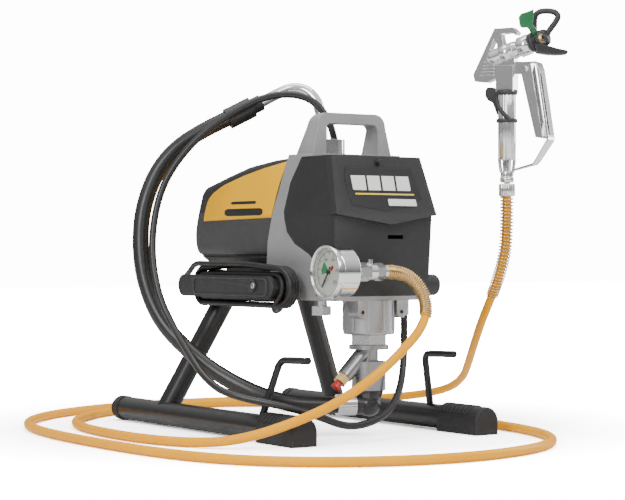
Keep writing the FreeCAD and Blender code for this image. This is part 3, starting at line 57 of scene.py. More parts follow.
def color_mix(tree, factor, first, second, blend="MIX"):
    mix = new_node(tree, "ShaderNodeMix", data_type="RGBA", blend_type=blend)
    for socket, value in ((mix.inputs[0], factor), (mix.inputs[6], first), (mix.inputs[7], second)):
        if isinstance(value, bpy.types.NodeSocket):
            tree.links.new(value, socket)
        else:
            socket.default_value = value
    return mix.outputs[2]


def noise(tree, coordinates, scale, detail=2.0):
    texture = new_node(tree, "ShaderNodeTexNoise")
    texture.inputs["Scale"].default_value = scale
    texture.inputs["Detail"].default_value = detail
    tree.links.new(coordinates, texture.inputs["Vector"])
    return texture.outputs["Fac"]


def ramp(tree, value, low, high, low_out, high_out):
    node = new_node(tree, "ShaderNodeMapRange")
    for name, number in zip(("From Min", "From Max", "To Min", "To Max"), (low, high, low_out, high_out)):
        node.inputs[name].default_value = number
    tree.links.new(value, node.inputs["Value"])
    return node.outputs["Result"]


BROAD_SCALE, GLOSS_SCALE = 14.0, 45.0
EDGE_POINTINESS = (0.52, 0.6)
GRAIN_DEPTH = 0.0004
COAT_ROUGHNESS = 0.12


def surface(name, color, rough=0.5, metal=0.0, mottle=0.08, grain=0.0, grain_scale=900.0, stretch=(1, 1, 1),
            worn=0.0, worn_color=(0.5, 0.5, 0.5), coat=0.0, specular=0.5, spread=0.12, transmission=0.0):
    """A finish with its own slow colour change, uneven gloss, fine grain and rubbed edges.

    mottle and spread are shares of the colour and the roughness; worn is how far the edges change.
    """
    material = bpy.data.materials.new(name)
    material.use_nodes = True
    tree = material.node_tree
    shader = tree.nodes["Principled BSDF"]
    place = new_node(tree, "ShaderNodeTexCoord").outputs["Object"]
    mapping = new_node(tree, "ShaderNodeMapping")
    mapping.inputs["Scale"].default_value = stretch
    tree.links.new(place, mapping.inputs["Vector"])
    stretched = mapping.outputs["Vector"]
    broad = noise(tree, place, BROAD_SCALE, 3.0)
    dark = tuple(c * (1 - mottle) for c in color) + (1,)
    light = tuple(min(1.0, c * (1 + mottle)) for c in color) + (1,)
    shade = color_mix(tree, ramp(tree, broad, 0.3, 0.7, 0, 1), dark, light)
    if worn:
        edges = new_node(tree, "ShaderNodeNewGeometry").outputs["Pointiness"]
        rubbed = ramp(tree, edges, *EDGE_POINTINESS, 0, worn)
        shade = color_mix(tree, rubbed, shade, tuple(worn_color) + (1,))
    tree.links.new(shade, shader.inputs["Base Color"])
    gloss = noise(tree, stretched, GLOSS_SCALE, 4.0)
    low, high = rough * (1 - spread), min(1.0, rough * (1 + spread))
    tree.links.new(ramp(tree, gloss, 0.3, 0.7, low, high), shader.inputs["Roughness"])
    if grain:
        bump = new_node(tree, "ShaderNodeBump")
        bump.inputs["Strength"].default_value = grain
        bump.inputs["Distance"].default_value = GRAIN_DEPTH
        tree.links.new(noise(tree, stretched, grain_scale, 2.0), bump.inputs["Height"])
        tree.links.new(bump.outputs["Normal"], shader.inputs["Normal"])
    shader.inputs["Metallic"].default_value = metal
    shader.inputs["Coat Weight"].default_value = coat
    shader.inputs["Coat Roughness"].default_value = COAT_ROUGHNESS
    shader.inputs["Specular IOR Level"].default_value = specular
    shader.inputs["Transmission Weight"].default_value = transmission
    return material


LOOKS = {
    "casing_grey": surface("casing_grey", (0.34, 0.34, 0.345), rough=0.42, metal=0.25, grain=0.25,
                           grain_scale=1500, worn=0.35, worn_color=(0.45, 0.45, 0.46), coat=0.1),
    "cover_black": surface("cover_black", (0.017, 0.0172, 0.018), rough=0.5, grain=0.4, grain_scale=1700,
                           worn=0.2, worn_color=(0.10, 0.10, 0.105)),
    "panel_amber": surface("panel_amber", (1.0, 0.50, 0.0), rough=0.4, mottle=0.03, grain=0.05, specular=0.1),
    "badge": surface("badge", (0.014, 0.014, 0.016), rough=0.32, coat=0.2),
    "frame_black": surface("frame_black", (0.005, 0.005, 0.0055), rough=0.36, grain=0.3, grain_scale=1300,
                           worn=0.25, worn_color=(0.09, 0.09, 0.095), coat=0.15),
    "foot_rubber": surface("foot_rubber", (0.017, 0.017, 0.018), rough=0.62, grain=0.3, worn=0.25,
                           worn_color=(0.07, 0.07, 0.07)),
    "steel": surface("steel", (0.55, 0.55, 0.56), rough=0.28, metal=1, grain=0.15, stretch=(1, 1, 6),
                     worn=0.3, worn_color=(0.75, 0.75, 0.76)),
    "chrome": surface("chrome", (0.80, 0.805, 0.82), rough=0.09, metal=0.82, mottle=0.02, spread=0.4),
    "alloy": surface("alloy", (0.46, 0.465, 0.47), rough=0.36, metal=1, grain=0.45, grain_scale=1100,
                     worn=0.4, worn_color=(0.85, 0.85, 0.86)),
    "pump_metal": surface("pump_metal", (0.34, 0.35, 0.36), rough=0.32, metal=1, grain=0.2, worn=0.3,
                          worn_color=(0.7, 0.7, 0.7)),
    "black_fitting": surface("black_fitting", (0.020, 0.020, 0.022), rough=0.35, grain=0.25, worn=0.4,
                             worn_color=(0.16, 0.16, 0.16), coat=0.2),
    "brass": surface("brass", (0.78, 0.56, 0.24), rough=0.24, metal=1, grain=0.1, mottle=0.1),
    "button_red": surface("button_red", (0.55, 0.02, 0.015), rough=0.3, coat=0.4),
    "knob_black": surface("knob_black", (0.022, 0.022, 0.024), rough=0.5, grain=0.3, worn=0.3,
                          worn_color=(0.09, 0.09, 0.09)),
    "gauge_case": surface("gauge_case", (0.80, 0.81, 0.82), rough=0.11, metal=1, mottle=0.02, spread=0.4),
    "dial": surface("dial", (0.83, 0.82, 0.74), rough=0.45, mottle=0.03, coat=0.3),
    "needle": surface("needle", (0.01, 0.01, 0.01), rough=0.35, mottle=0.05),
    "lens": surface("lens", (0.96, 0.98, 0.98), rough=0.02, mottle=0.01, transmission=1.0),
    "hose_yellow": surface("hose_yellow", (1.0, 0.42, 0.0), rough=0.38, mottle=0.05, grain=0.08,
                           specular=0.15),
    "hose_black": surface("hose_black", (0.013, 0.013, 0.0135), rough=0.4, mottle=0.2, grain=0.15,
                          grain_scale=400, coat=0.15),
    "cord_black": surface("cord_black", (0.009, 0.009, 0.0095), rough=0.48, mottle=0.2, grain=0.2),
    "laminations": surface("laminations", (0.20, 0.19, 0.19), rough=0.5, metal=0.8, grain=0.4,
                           stretch=(1, 14, 1)),
    "fan_plastic": surface("fan_plastic", (0.05, 0.05, 0.055), rough=0.5, grain=0.2),
    "key_green": surface("key_green", (0.012, 0.14, 0.045), rough=0.36, mottle=0.08, coat=0.25, worn=0.2,
                         worn_color=(0.1, 0.42, 0.16)),
    "guard_black": surface("guard_black", (0.018, 0.018, 0.020), rough=0.42, grain=0.2, worn=0.25,
                           worn_color=(0.09, 0.09, 0.09)),
    "flank_grey": surface("flank_grey", (0.045, 0.045, 0.047), rough=0.42, grain=0.3, grain_scale=1700),
    "mark_white": surface("mark_white", (0.80, 0.80, 0.78), rough=0.4, mottle=0.03),
    "mark_yellow": surface("mark_yellow", (0.90, 0.62, 0.03), rough=0.4, mottle=0.03),
    "mark_dark": surface("mark_dark", (0.012, 0.012, 0.013), rough=0.38, mottle=0.05),
    "mark_green": surface("mark_green", (0.02, 0.34, 0.10), rough=0.4, mottle=0.05),
    "mark_red": surface("mark_red", (0.62, 0.03, 0.02), rough=0.4, mottle=0.05),
    "spring_brass": surface("spring_brass", (0.66, 0.47, 0.22), rough=0.22, metal=1, mottle=0.15),
    "steel_dark": surface("steel_dark", (0.16, 0.16, 0.165), rough=0.25, metal=1, mottle=0.1),
    "tip_bronze": surface("tip_bronze", (0.50, 0.34, 0.17), rough=0.3, metal=1, mottle=0.15),
    "backdrop": surface("backdrop", (0.90, 0.90, 0.90), rough=0.85, mottle=0.005, specular=0.1),
}


def give(obj, look):
    obj.data.materials.clear()
    obj.data.materials.append(LOOKS[look])
    return obj


# ---------------------------------------------------------------- building helpers

def linked(name, data):
    obj = bpy.data.objects.new(name, data)
    bpy.context.scene.collection.objects.link(obj)
    return obj


def mesh_piece(name, points, faces, look, body="root", smooth=True):
    """A mesh piece given in millimetres."""
    data = bpy.data.meshes.new(name)
    data.from_pydata([Vector(p) * MM for p in points], [], faces)
    mesh = bmesh.new()
    mesh.from_mesh(data)
    bmesh.ops.remove_doubles(mesh, verts=mesh.verts, dist=1e-6)
    bmesh.ops.recalc_face_normals(mesh, faces=mesh.faces)
    mesh.to_mesh(data)
    mesh.free()
    for polygon in data.polygons:
        polygon.use_smooth = smooth
    obj = give(linked(name, data), look)
    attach(obj, body)
    return obj


def bevelled(obj, width, angle=30, segments=3):
    bevel = obj.modifiers.new("edge", "BEVEL")
    bevel.width = width * MM
    bevel.segments = segments
    bevel.limit_method = "ANGLE"
    bevel.angle_limit = math.radians(angle)
    bevel.harden_normals = True
    weighted = obj.modifiers.new("shading", "WEIGHTED_NORMAL")
    weighted.keep_sharp = True
    return obj


def across(direction):
    """Two unit vectors square to a direction."""
    direction = Vector(direction).normalized()
    side = direction.orthogonal().normalized()
    return side, direction.cross(side)


def ring_faces(rings, around, closed=False):
    """Faces between rings of points, and from the last ring back to the first if closed."""
    faces = []
    for i in range(rings if closed else rings - 1):
        ahead = (i + 1) % rings
        for k in range(around):
            beside = (k + 1) % around
            faces.append((i * around + k, i * around + beside, ahead * around + beside, ahead * around + k))
    return faces


def ring_ends(rings, around):
    return [tuple(range(around)), tuple(range((rings - 1) * around, rings * around))]


def turned(name, origin, direction, profile, look, body="root", segments=64, closed=False):
    """A turned piece. The profile is a list of (distance along the axis, radius)."""
    direction = Vector(direction).normalized()
    side, up = across(direction)
    points = []
    for along, radius in profile:
        for k in range(segments):
            angle = 2 * math.pi * k / segments
            points.append(Vector(origin) + direction * along
                          + (side * math.cos(angle) + up * math.sin(angle)) * radius)
    faces = ring_faces(len(profile), segments, closed)
    if not closed:
        faces += ring_ends(len(profile), segments)
    return mesh_piece(name, points, faces, look, body)


def prism(name, outline, start, end, place, look, body="root", bevel=0.0):
    """An outline pushed from start to end. place(u, v, w) gives the point in millimetres."""
    count = len(outline)
    points = [place(u, v, start) for u, v in outline] + [place(u, v, end) for u, v in outline]
    faces = [tuple(range(count)), tuple(range(2 * count - 1, count - 1, -1))]
    faces += [(i, (i + 1) % count, count + (i + 1) % count, count + i) for i in range(count)]
    obj = mesh_piece(name, points, faces, look, body, smooth=bool(bevel))
    return bevelled(obj, bevel) if bevel else obj


def rounded_box(u0, v0, u1, v1, radius, steps=5):
    """Outline of a rectangle with round corners."""
    outline = []
    for cx, cy, start in ((u1 - radius, v1 - radius, 0), (u0 + radius, v1 - radius, 90),
                          (u0 + radius, v0 + radius, 180), (u1 - radius, v0 + radius, 270)):
        for k in range(steps + 1):
            angle = math.radians(start + 90 * k / steps)
            outline.append((cx + radius * math.cos(angle), cy + radius * math.sin(angle)))
    return outline


def curve(name, kind, points, radius, resolution, roundness):
    """A round bar along a curve of the given kind, in metres."""
    data = bpy.data.curves.new(name, "CURVE")
    data.dimensions = "3D"
    data.resolution_u = resolution
    data.bevel_depth = radius
    data.bevel_resolution = roundness
    data.use_fill_caps = True
    line = data.splines.new(kind)
    line.points.add(len(points) - 1)
    for target, place in zip(line.points, points):
        target.co = tuple(place) + (1,)
    if kind == "NURBS":
        line.order_u = 3
        line.use_endpoint_u = True
    return linked(name, data)


def spline(name, route, radius):
    """A round cord whose control points are the route."""
    return curve(name, "NURBS", route, radius, 8, 6)


def centreline(route):
    """Points along the cord that a route gives."""
    probe = spline("probe", route, 0.0)
    data = bpy.data.meshes.new_from_object(probe)
    points = [vertex.co.copy() for vertex in data.vertices]
    bpy.data.objects.remove(probe)
    bpy.data.meshes.remove(data)
    return points


def spaced(points, step):
    """The same line with its points a fixed step apart."""
    result, carried = [points[0]], 0.0
    for start, end in zip(points, points[1:]):
        length = (end - start).length
        while carried + length >= step and length > 0:
            start = start.lerp(end, (step - carried) / length)
            result.append(start)
            length = (end - start).length
            carried = 0.0
        carried += length
    return result


def moving_frames(points):
    """Each point of a line with two directions square to it, turning as little as possible."""
    side = across(points[1] - points[0])[0]
    result = []
    for i, point in enumerate(points):
        ahead = (points[min(i + 1, len(points) - 1)] - points[max(i - 1, 0)]).normalized()
        side = (side - ahead * side.dot(ahead)).normalized()
        result.append((point, side, ahead.cross(side)))
    return result


def wire_spring(name, line, length, radius, end_radius, wire, pitch, look):
    """A coil of wire round the first length, in metres, of a line."""
    step = 0.0004
    fine = spaced(line, step)[:int(length / step)]
    points = []
    for i, (point, side, up) in enumerate(moving_frames(fine)):
        angle = 2 * math.pi * i * step / pitch
        reach = radius + (end_radius - radius) * i / len(fine)
        points.append(point + (side * math.cos(angle) + up * math.sin(angle)) * reach)
    obj = give(curve(name, "POLY", points, wire, 12, 2), look)
    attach(obj, "root")
    return obj


# ---------------------------------------------------------------- cords

PAINT_HOSE_ROUTE = [
    (-0.019, -0.241, 0.218), (0.005, -0.241, 0.218), (0.0265, -0.2445, 0.206), (0.038, -0.251, 0.185),
    (0.034, -0.259, 0.161), (0.016, -0.266, 0.14), (-0.012, -0.274, 0.121), (-0.045, -0.2795, 0.098),
    (-0.084, -0.279, 0.074), (-0.124, -0.27, 0.051), (-0.164, -0.256, 0.034), (-0.203, -0.236, 0.019),
    (-0.236, -0.208, 0.009), (-0.263, -0.172, 0.0065), (-0.282, -0.128, 0.0065), (-0.292, -0.072, 0.0065),
    (-0.293, -0.008, 0.0065), (-0.288, 0.06, 0.0065), (-0.274, 0.124, 0.0065), (-0.248, 0.184, 0.0065),
    (-0.206, 0.238, 0.0065), (-0.152, 0.286, 0.0065), (-0.09, 0.322, 0.0065), (-0.022, 0.346, 0.0065),
    (0.048, 0.352, 0.0065), (0.116, 0.334, 0.0065), (0.168, 0.288, 0.0065), (0.202, 0.226, 0.0065),
    (0.222, 0.156, 0.0065), (0.23, 0.084, 0.0065), (0.231, 0.01, 0.0065), (0.227, -0.062, 0.0065),
    (0.2185, -0.134, 0.0065), (0.206, -0.204, 0.0065), (0.194, -0.272, 0.0065), (0.17, -0.338, 0.0065),
    (0.13, -0.398, 0.0065), (0.074, -0.446, 0.0065), (0.006, -0.476, 0.0065), (-0.066, -0.492, 0.0065),
    (-0.138, -0.49, 0.0065), (-0.206, -0.47, 0.0065), (-0.268, -0.434, 0.0065), (-0.316, -0.382, 0.0065),
    (-0.344, -0.316, 0.0065), (-0.357, -0.244, 0.0065), (-0.362, -0.17, 0.0065), (-0.363, -0.096, 0.0065),
    (-0.362, -0.022, 0.0065), (-0.356, 0.052, 0.0065), (-0.343, 0.124, 0.0065), (-0.318, 0.192, 0.0065),
    (-0.276, 0.254, 0.0065), (-0.218, 0.306, 0.0065), (-0.15, 0.346, 0.0065), (-0.076, 0.372, 0.0065),
    (0, 0.384, 0.0065), (0.076, 0.382, 0.0065), (0.15, 0.368, 0.0065), (0.22, 0.344, 0.0065),
    (0.286, 0.312, 0.0065), (0.346, 0.27, 0.008), (0.386, 0.216, 0.016), (0.39, 0.15, 0.03),
    (0.362, 0.082, 0.052), (0.322, 0.018, 0.08), (0.282, -0.046, 0.112), (0.25, -0.104, 0.148),
    (0.233, -0.152, 0.19), (0.23, -0.179, 0.238), (0.2302, -0.1826, 0.284), (0.23, -0.183, 0.3197)]
SUCTION_HOSE_ROUTE = [
    (-0.0414, -0.1629, 0.043), (-0.076, -0.1503, 0.043), (-0.112, -0.133, 0.0485), (-0.143, -0.105, 0.063),
    (-0.1706, -0.0644, 0.0867), (-0.1934, -0.0276, 0.1174), (-0.2115, 0.0024, 0.15),
    (-0.2205, 0.0276, 0.195), (-0.222, 0.043, 0.2487), (-0.2128, 0.0501, 0.3083),
    (-0.1866, 0.0471, 0.3657), (-0.142, 0.0294, 0.4071), (-0.0846, 0.0003, 0.4356)]
RETURN_HOSE_ROUTE = [
    (0.049, -0.19, 0.16), (0.049, -0.19, 0.132), (0.044, -0.196, 0.098), (0.03, -0.208, 0.066),
    (0.006, -0.222, 0.04), (-0.03, -0.23, 0.024), (-0.072, -0.232, 0.02), (-0.112, -0.226, 0.036),
    (-0.146, -0.206, 0.048), (-0.1997, -0.1483, 0.0616), (-0.2073, -0.1061, 0.0799),
    (-0.2088, -0.0702, 0.1079), (-0.2133, -0.0384, 0.1408), (-0.2199, -0.01, 0.1797),
    (-0.2215, 0.0091, 0.23), (-0.2146, 0.0189, 0.2835), (-0.1985, 0.0202, 0.3361),
    (-0.1683, 0.0109, 0.3823), (-0.1332, -0.004, 0.4165), (-0.0991, -0.0207, 0.4399),
    (-0.0704, -0.0361, 0.4544), (-0.0415, -0.0541, 0.4585), (-0.0189, -0.0691, 0.4511),
    (-0.0037, -0.0805, 0.432), (0.007, -0.0845, 0.408), (0.012, -0.085, 0.38)]
LEAD_ROUTE = [
    (-0.022, 0.142, 0.206), (-0.022, 0.158, 0.206), (-0.031, 0.173, 0.206), (-0.05, 0.181, 0.206),
    (-0.070, 0.176, 0.2062), (-0.086, 0.158, 0.2065), (-0.099, 0.133, 0.2085), (-0.107, 0.109, 0.2145),
    (-0.1125, 0.083, 0.2275)]
TAIL_ROUTE = [(-0.1125, -0.128, 0.1755), (-0.1085, -0.116, 0.1685), (-0.099, -0.104, 0.1652),
              (-0.086, -0.093, 0.1658), (-0.0745, -0.083, 0.1715), (-0.067, -0.0745, 0.181),
              (-0.0635, -0.066, 0.191), (-0.0625, -0.0555, 0.199), (-0.0625, -0.044, 0.200)]
# Where the coil's turns lie, across the wrap, by turn number.
COIL_ACROSS = [(0, -113.7), (0.45, -111.8), (0.9, -106.5), (1.45, -104.2), (1.95, -98.5), (2.45, -96.6),
               (2.9, -91.2), (3.2, -92), (3.45, -96.4), (3.95, -98.6), (4.45, -104), (4.95, -106.3),
               (5.45, -111.6), (5.95, -113.9), (6.5, -113.9)]
# Half height of the layer that each turn is in, how far it bows, and its reach past the front centre.
COIL_LAYERS = [(0, 31.4), (0.12, 25.5), (2.85, 24.5), (3.1, 16), (7, 16)]
COIL_BOWS = [(0, 0), (0.15, 5.5), (2.7, 4), (3.0, 0.6), (7, 0.6)]
COIL_REACHES = [(0, 38), (0.6, 38), (1.4, 33), (2.4, 28), (2.9, 26), (3.3, 19), (7, 16)]
COIL_TURNS = 5.46
COIL_INSET, COIL_LOWEST = 10, 24.0
HALF_STEP = 22.5
CORNER_SHARE = math.cos(math.radians(HALF_STEP))
COIL_FRONT, COIL_REAR, COIL_HEIGHT = -124, 66, 197
PAINT_HOSE_RADIUS, SUCTION_HOSE_RADIUS = 0.00625, 0.011
RETURN_HOSE_RADIUS, POWER_CORD_RADIUS = 0.0048, 0.00375


def between(table, position):
    for (left, low), (right, high) in zip(table, table[1:]):
        if position <= right:
            return low + (high - low) * (position - left) / (right - left)
    return table[-1][1]


def coil_route():
    """Control points of the cord round its wrap: layer by layer inwards from the top of the rear end.

    Each turn runs along the top, round the front end, back along the bottom and round the rear end. A
    station is its share of the turn, its part, and how far along that part it is.
    """
    corners = [HALF_STEP + 45 * k for k in range(4)]
    stations = [(0.02 + 0.056 * k, "top", k / 4) for k in range(5)]
    stations += [(0.30 + 0.2 * corner / 180, "front", corner) for corner in corners]
    stations += [(0.52 + 0.056 * k, "bottom", k / 4) for k in range(5)]
    stations += [(0.80 + 0.2 * corner / 180, "rear", corner) for corner in corners]
    route = []
    for turn in range(math.ceil(COIL_TURNS)):
        for share, part, amount in stations:
            position = turn + share
            if position > COIL_TURNS:
                break
            reach = between(COIL_LAYERS, position)
            run = COIL_REAR - COIL_FRONT - 2 * COIL_INSET
            if part == "top":
                bow = between(COIL_BOWS, position) * math.sin(math.pi * amount)
                y, z = COIL_REAR - COIL_INSET - run * amount, reach + bow
            elif part == "bottom":
                y, z = COIL_FRONT + COIL_INSET + run * amount, -min(reach, COIL_LOWEST)
            else:
                angle = math.radians(amount)
                front = part == "front"
                out = (between(COIL_REACHES, position) if front else reach) * math.sin(angle) / CORNER_SHARE
                y = COIL_FRONT - out if front else COIL_REAR + out
                z = reach * math.cos(angle) / CORNER_SHARE * (1 if front else -1)
            route.append((between(COIL_ACROSS, position) * MM, y * MM, (COIL_HEIGHT + z) * MM))
    return route


def length_of(route):
    points = centreline(route)
    return sum((b - a).length for a, b in zip(points, points[1:]))


def make_cords():
    paint = spline("paint_hose_jacket", PAINT_HOSE_ROUTE, PAINT_HOSE_RADIUS)
    suction = spline("suction_hose_jacket", SUCTION_HOSE_ROUTE, SUCTION_HOSE_RADIUS)
    returned = spline("return_hose_jacket", RETURN_HOSE_ROUTE, RETURN_HOSE_RADIUS)
    whole = LEAD_ROUTE + coil_route() + TAIL_ROUTE
    power = spline("power_cord", whole, POWER_CORD_RADIUS)
    looks = ("hose_yellow", "hose_black", "hose_black", "cord_black")
    for cord, look in zip((paint, suction, returned, power), looks):
        give(cord, look)
        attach(cord, "root")
    line = centreline(PAINT_HOSE_ROUTE)
    outlet = wire_spring("outlet_guard_spring", line, 0.098, 0.0094, 0.0078, 0.0011, 0.0031, "spring_brass")
    backwards = list(reversed(line))
    riser = wire_spring("riser_guard_spring", backwards, 0.150, 0.0088, 0.0080, 0.0010, 0.0046,
                        "spring_brass")
    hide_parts("paint_hose")
    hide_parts("outlet_spring")
    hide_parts("gun_spring")
    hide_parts("suction_hose")
    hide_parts("return_hose")
    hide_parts("power_cord_coil", "power_cord_lead")
    length_of(PAINT_HOSE_ROUTE)
    length_of(SUCTION_HOSE_ROUTE)
    length_of(RETURN_HOSE_ROUTE)
    length_of(whole)


make_cords()


# ---------------------------------------------------------------- shroud and its panels

TOP_CORNER, REAR_ROUNDING = 15, 11
SHROUD_FRONT_TOP_Y, SHROUD_LENGTH = -78, 206
SHROUD_MIDDLE, SHROUD_HALF_HEIGHT, SHROUD_WIDEST = 284, 56, 75
SHROUD_KNEE = 286
RINGS_ALONG, RINGS_ROUND = 24, 6
FLANK_FACING, FLANK_BAND = 0.75, (240, 300)


def shroud_top(y):
    return between([(-100, 371.5), (-93, 371), (-30, 368), (30, 361.5), (80, 350), (128, 338), (155, 331)], y)


def shroud_half_width(z):
    if z < 243:
        return between([(224, 61), (229, 67), (235, 71), (243, 74)], z)
    if z < SHROUD_KNEE:
        return between([(243, 74), (266, 75.3), (SHROUD_KNEE, 76)], z)
    return 76 - 10 * min(1.0, (z - SHROUD_KNEE) / 87.0) ** 3


def shroud_front(z):
    return between([(224, -47), (257, -50), (306, -66), (371, -93), (380, -97)], z)


def shroud_rear(z):
    return between([(224, 120), (232, 134), (243, 148), (252, 153), (266, 153), (278, 151), (338, 129),
                    (380, 114)], z)


def shroud_section(top):
    """Right half of a section, from the bottom middle to the top middle, as (x, z)."""
    half = [(0, 224), (40, 224), (55, 224), (61, 225), (65, 227.5)]
    half += [(shroud_half_width(z), z) for z in (231, 235, 236.2)]
    half += [(shroud_half_width(z) - 1.8, z) for z in (236.6, 239.8)]
    half += [(shroud_half_width(z), z) for z in (240.2, 243, 250, 260, 270, SHROUD_KNEE)]
    start = top - TOP_CORNER
    rises = [SHROUD_KNEE + (start - SHROUD_KNEE) * k / 6 for k in range(1, 7)]
    half += [(shroud_half_width(z), z) for z in rises]
    centre = shroud_half_width(start) - TOP_CORNER
    for k in range(1, 9):
        angle = math.radians(90 * k / 8)
        half.append((centre + TOP_CORNER * math.cos(angle), start + TOP_CORNER * math.sin(angle)))
    half += [(centre * 0.6, top + 0.6), (centre * 0.3, top + 1), (0, top + 1.1)]
    return half


def make_shroud():
    """Rings from the casing back to the rear edge, round it, and in towards the middle of the end."""
    rings = []
    for share in [k / RINGS_ALONG for k in range(RINGS_ALONG + 1)]:
        ring = []
        for x, z in shroud_section(shroud_top(SHROUD_FRONT_TOP_Y + SHROUD_LENGTH * share)):
            front, rear = shroud_front(z), shroud_rear(z) - REAR_ROUNDING
            ring.append((x, front + (rear - front) * share, z))
        rings.append(ring)
    last = rings[-1]
    for k in range(1, RINGS_ROUND + 1):
        angle = math.radians(90 * k / RINGS_ROUND)
        inset, ahead = REAR_ROUNDING * (1 - math.cos(angle)), REAR_ROUNDING * math.sin(angle)
        narrower, lower = 1 - inset / SHROUD_WIDEST, 1 - inset / SHROUD_HALF_HEIGHT
        rings.append([(x * narrower, y + ahead, SHROUD_MIDDLE + (z - SHROUD_MIDDLE) * lower)
                      for x, y, z in last])
    edge = rings[-1]
    for share in (0.7, 0.4, 0.1):
        inner = [(x * share, SHROUD_MIDDLE + (z - SHROUD_MIDDLE) * share) for x, _, z in edge]
        rings.append([(x, shroud_rear(z), z) for x, z in inner])
    points = []
    for ring in rings:
        points += ring + [(-x, y, z) for x, y, z in reversed(ring)]
    wide = 2 * len(rings[0])
    faces = ring_faces(len(rings), wide) + ring_ends(len(rings), wide)[1:]
    shell = mesh_piece("shroud_shell", points, faces, "cover_black")
    shell.data.materials.append(LOOKS["flank_grey"])
    for polygon in shell.data.polygons:
        centre = polygon.center / MM
        if abs(polygon.normal.x) > FLANK_FACING and FLANK_BAND[0] < centre.z < FLANK_BAND[1]:
            polygon.material_index = 1
    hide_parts("motor_shroud")


PANEL_LOW_FRONT, PANEL_LOW_RUN = (-58.5, 289.5), (178, -2.5)
PANEL_PROUD, PANEL_SUNK = 0.9, -0.6
MARK_PROUD = 1.12
PANEL_TOP = [(0, -88.5, 364.5), (0.12, -66, 361.5), (0.3, -30, 356.5), (0.5, 16, 348.5), (0.72, 68, 336.5),
             (0.85, 95, 326), (0.92, 107, 317.5), (0.97, 114, 306), (1, 119, 292)]


def panel_point(share, rise, proud):
    """A point of the right panel: share along it, rise from its lower to its upper edge."""
    y_top = between([(s, y) for s, y, z in PANEL_TOP], share)
    z_top = between([(s, z) for s, y, z in PANEL_TOP], share)
    y_low, z_low = (start + run * share for start, run in zip(PANEL_LOW_FRONT, PANEL_LOW_RUN))
    y, z = y_low + (y_top - y_low) * rise, z_low + (z_top - z_low) * rise
    corner_start = shroud_top(y) - TOP_CORNER
    x = shroud_half_width(min(z, corner_start))
    over = z - corner_start
    if over > 0:
        x -= TOP_CORNER - math.sqrt(max(0, TOP_CORNER ** 2 - over * over))
    behind = y - (shroud_rear(z) - REAR_ROUNDING)
    if behind > 0:
        x -= REAR_ROUNDING - math.sqrt(max(0, REAR_ROUNDING ** 2 - behind * behind))
    return (x + proud, y, z)


def make_panel(side):
    """One flank panel, following the shroud. side is 1 on the right and -1 on the left."""
    columns, rows = 44, 14
    points, faces = [], []
    for proud in (PANEL_PROUD, PANEL_SUNK):
        for i in range(columns + 1):
            for k in range(rows + 1):
                x, y, z = panel_point(i / columns, k / rows, proud)
                points.append((x * side, y, z))
    wide, layer_size = rows + 1, (columns + 1) * (rows + 1)
    for i in range(columns):
        for k in range(rows):
            a = i * wide + k
            faces.append((a, a + 1, a + wide + 1, a + wide))
            b = a + layer_size
            faces.append((b, b + wide, b + wide + 1, b + 1))
    rim = [i * wide for i in range(columns + 1)] + [columns * wide + k for k in range(1, wide)]
    rim += [i * wide + rows for i in range(columns - 1, -1, -1)] + [k for k in range(rows - 1, 0, -1)]
    for a, b in zip(rim, rim[1:] + rim[:1]):
        faces.append((a, b, b + layer_size, a + layer_size))
    obj = mesh_piece("flank_panel_" + ("right" if side > 0 else "left"), points, faces, "panel_amber")
    return obj


def panel_mark(name, side, y0, z0, y1, z1, radius):
    """A plain printed bar that lies on a flank panel."""
    columns, rows = 16, 4
    points, faces = [], []
    for i in range(columns + 1):
        for k in range(rows + 1):
            along_share, up_share = i / columns, k / rows
            y, z = y0 + (y1 - y0) * along_share, z0 + (z1 - z0) * up_share
            edge = min(along_share, 1 - along_share) * abs(y1 - y0)
            if edge < radius:
                rounding = 1 - math.sqrt(max(0, 1 - (1 - edge / radius) ** 2))
                middle = (z0 + z1) / 2
                z = middle + (z - middle) * (1 - rounding * 2 * radius / abs(z1 - z0))
            x = shroud_half_width(min(z, shroud_top(y) - TOP_CORNER))
            points.append(((x + MARK_PROUD) * side, y, z))
    wide = rows + 1
    for i in range(columns):
        for k in range(rows):
            a = i * wide + k
            faces.append((a, a + 1, a + wide + 1, a + wide))
    obj = mesh_piece(name, points, faces, "mark_dark")


make_shroud()
for panel in [make_panel(1), make_panel(-1)]:
    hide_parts("side_panels")
for side, tag in ((1, "right"), (-1, "left")):
    panel_mark("long_stripe_" + tag, side, -38, 293, 62, 303, 2.4)
    panel_mark("short_stripe_" + tag, side, -22, 309, 46, 313, 1.6)


# ---------------------------------------------------------------- badge, gauge and wrap details

HOOD_TOP, HOOD_TOP_Y, HOOD_SLOPE = 366, -196.6, 0.3448
COVER_SCREW_HEIGHT = 361
BADGE_GAP_STARTS = (-27, -4, 19)


def cover_place(u, v, w):
    """On the sloping hood of the front cover: across, up, and out from its face."""
    return (u, HOOD_TOP_Y - (HOOD_TOP - v) * HOOD_SLOPE - w, v)


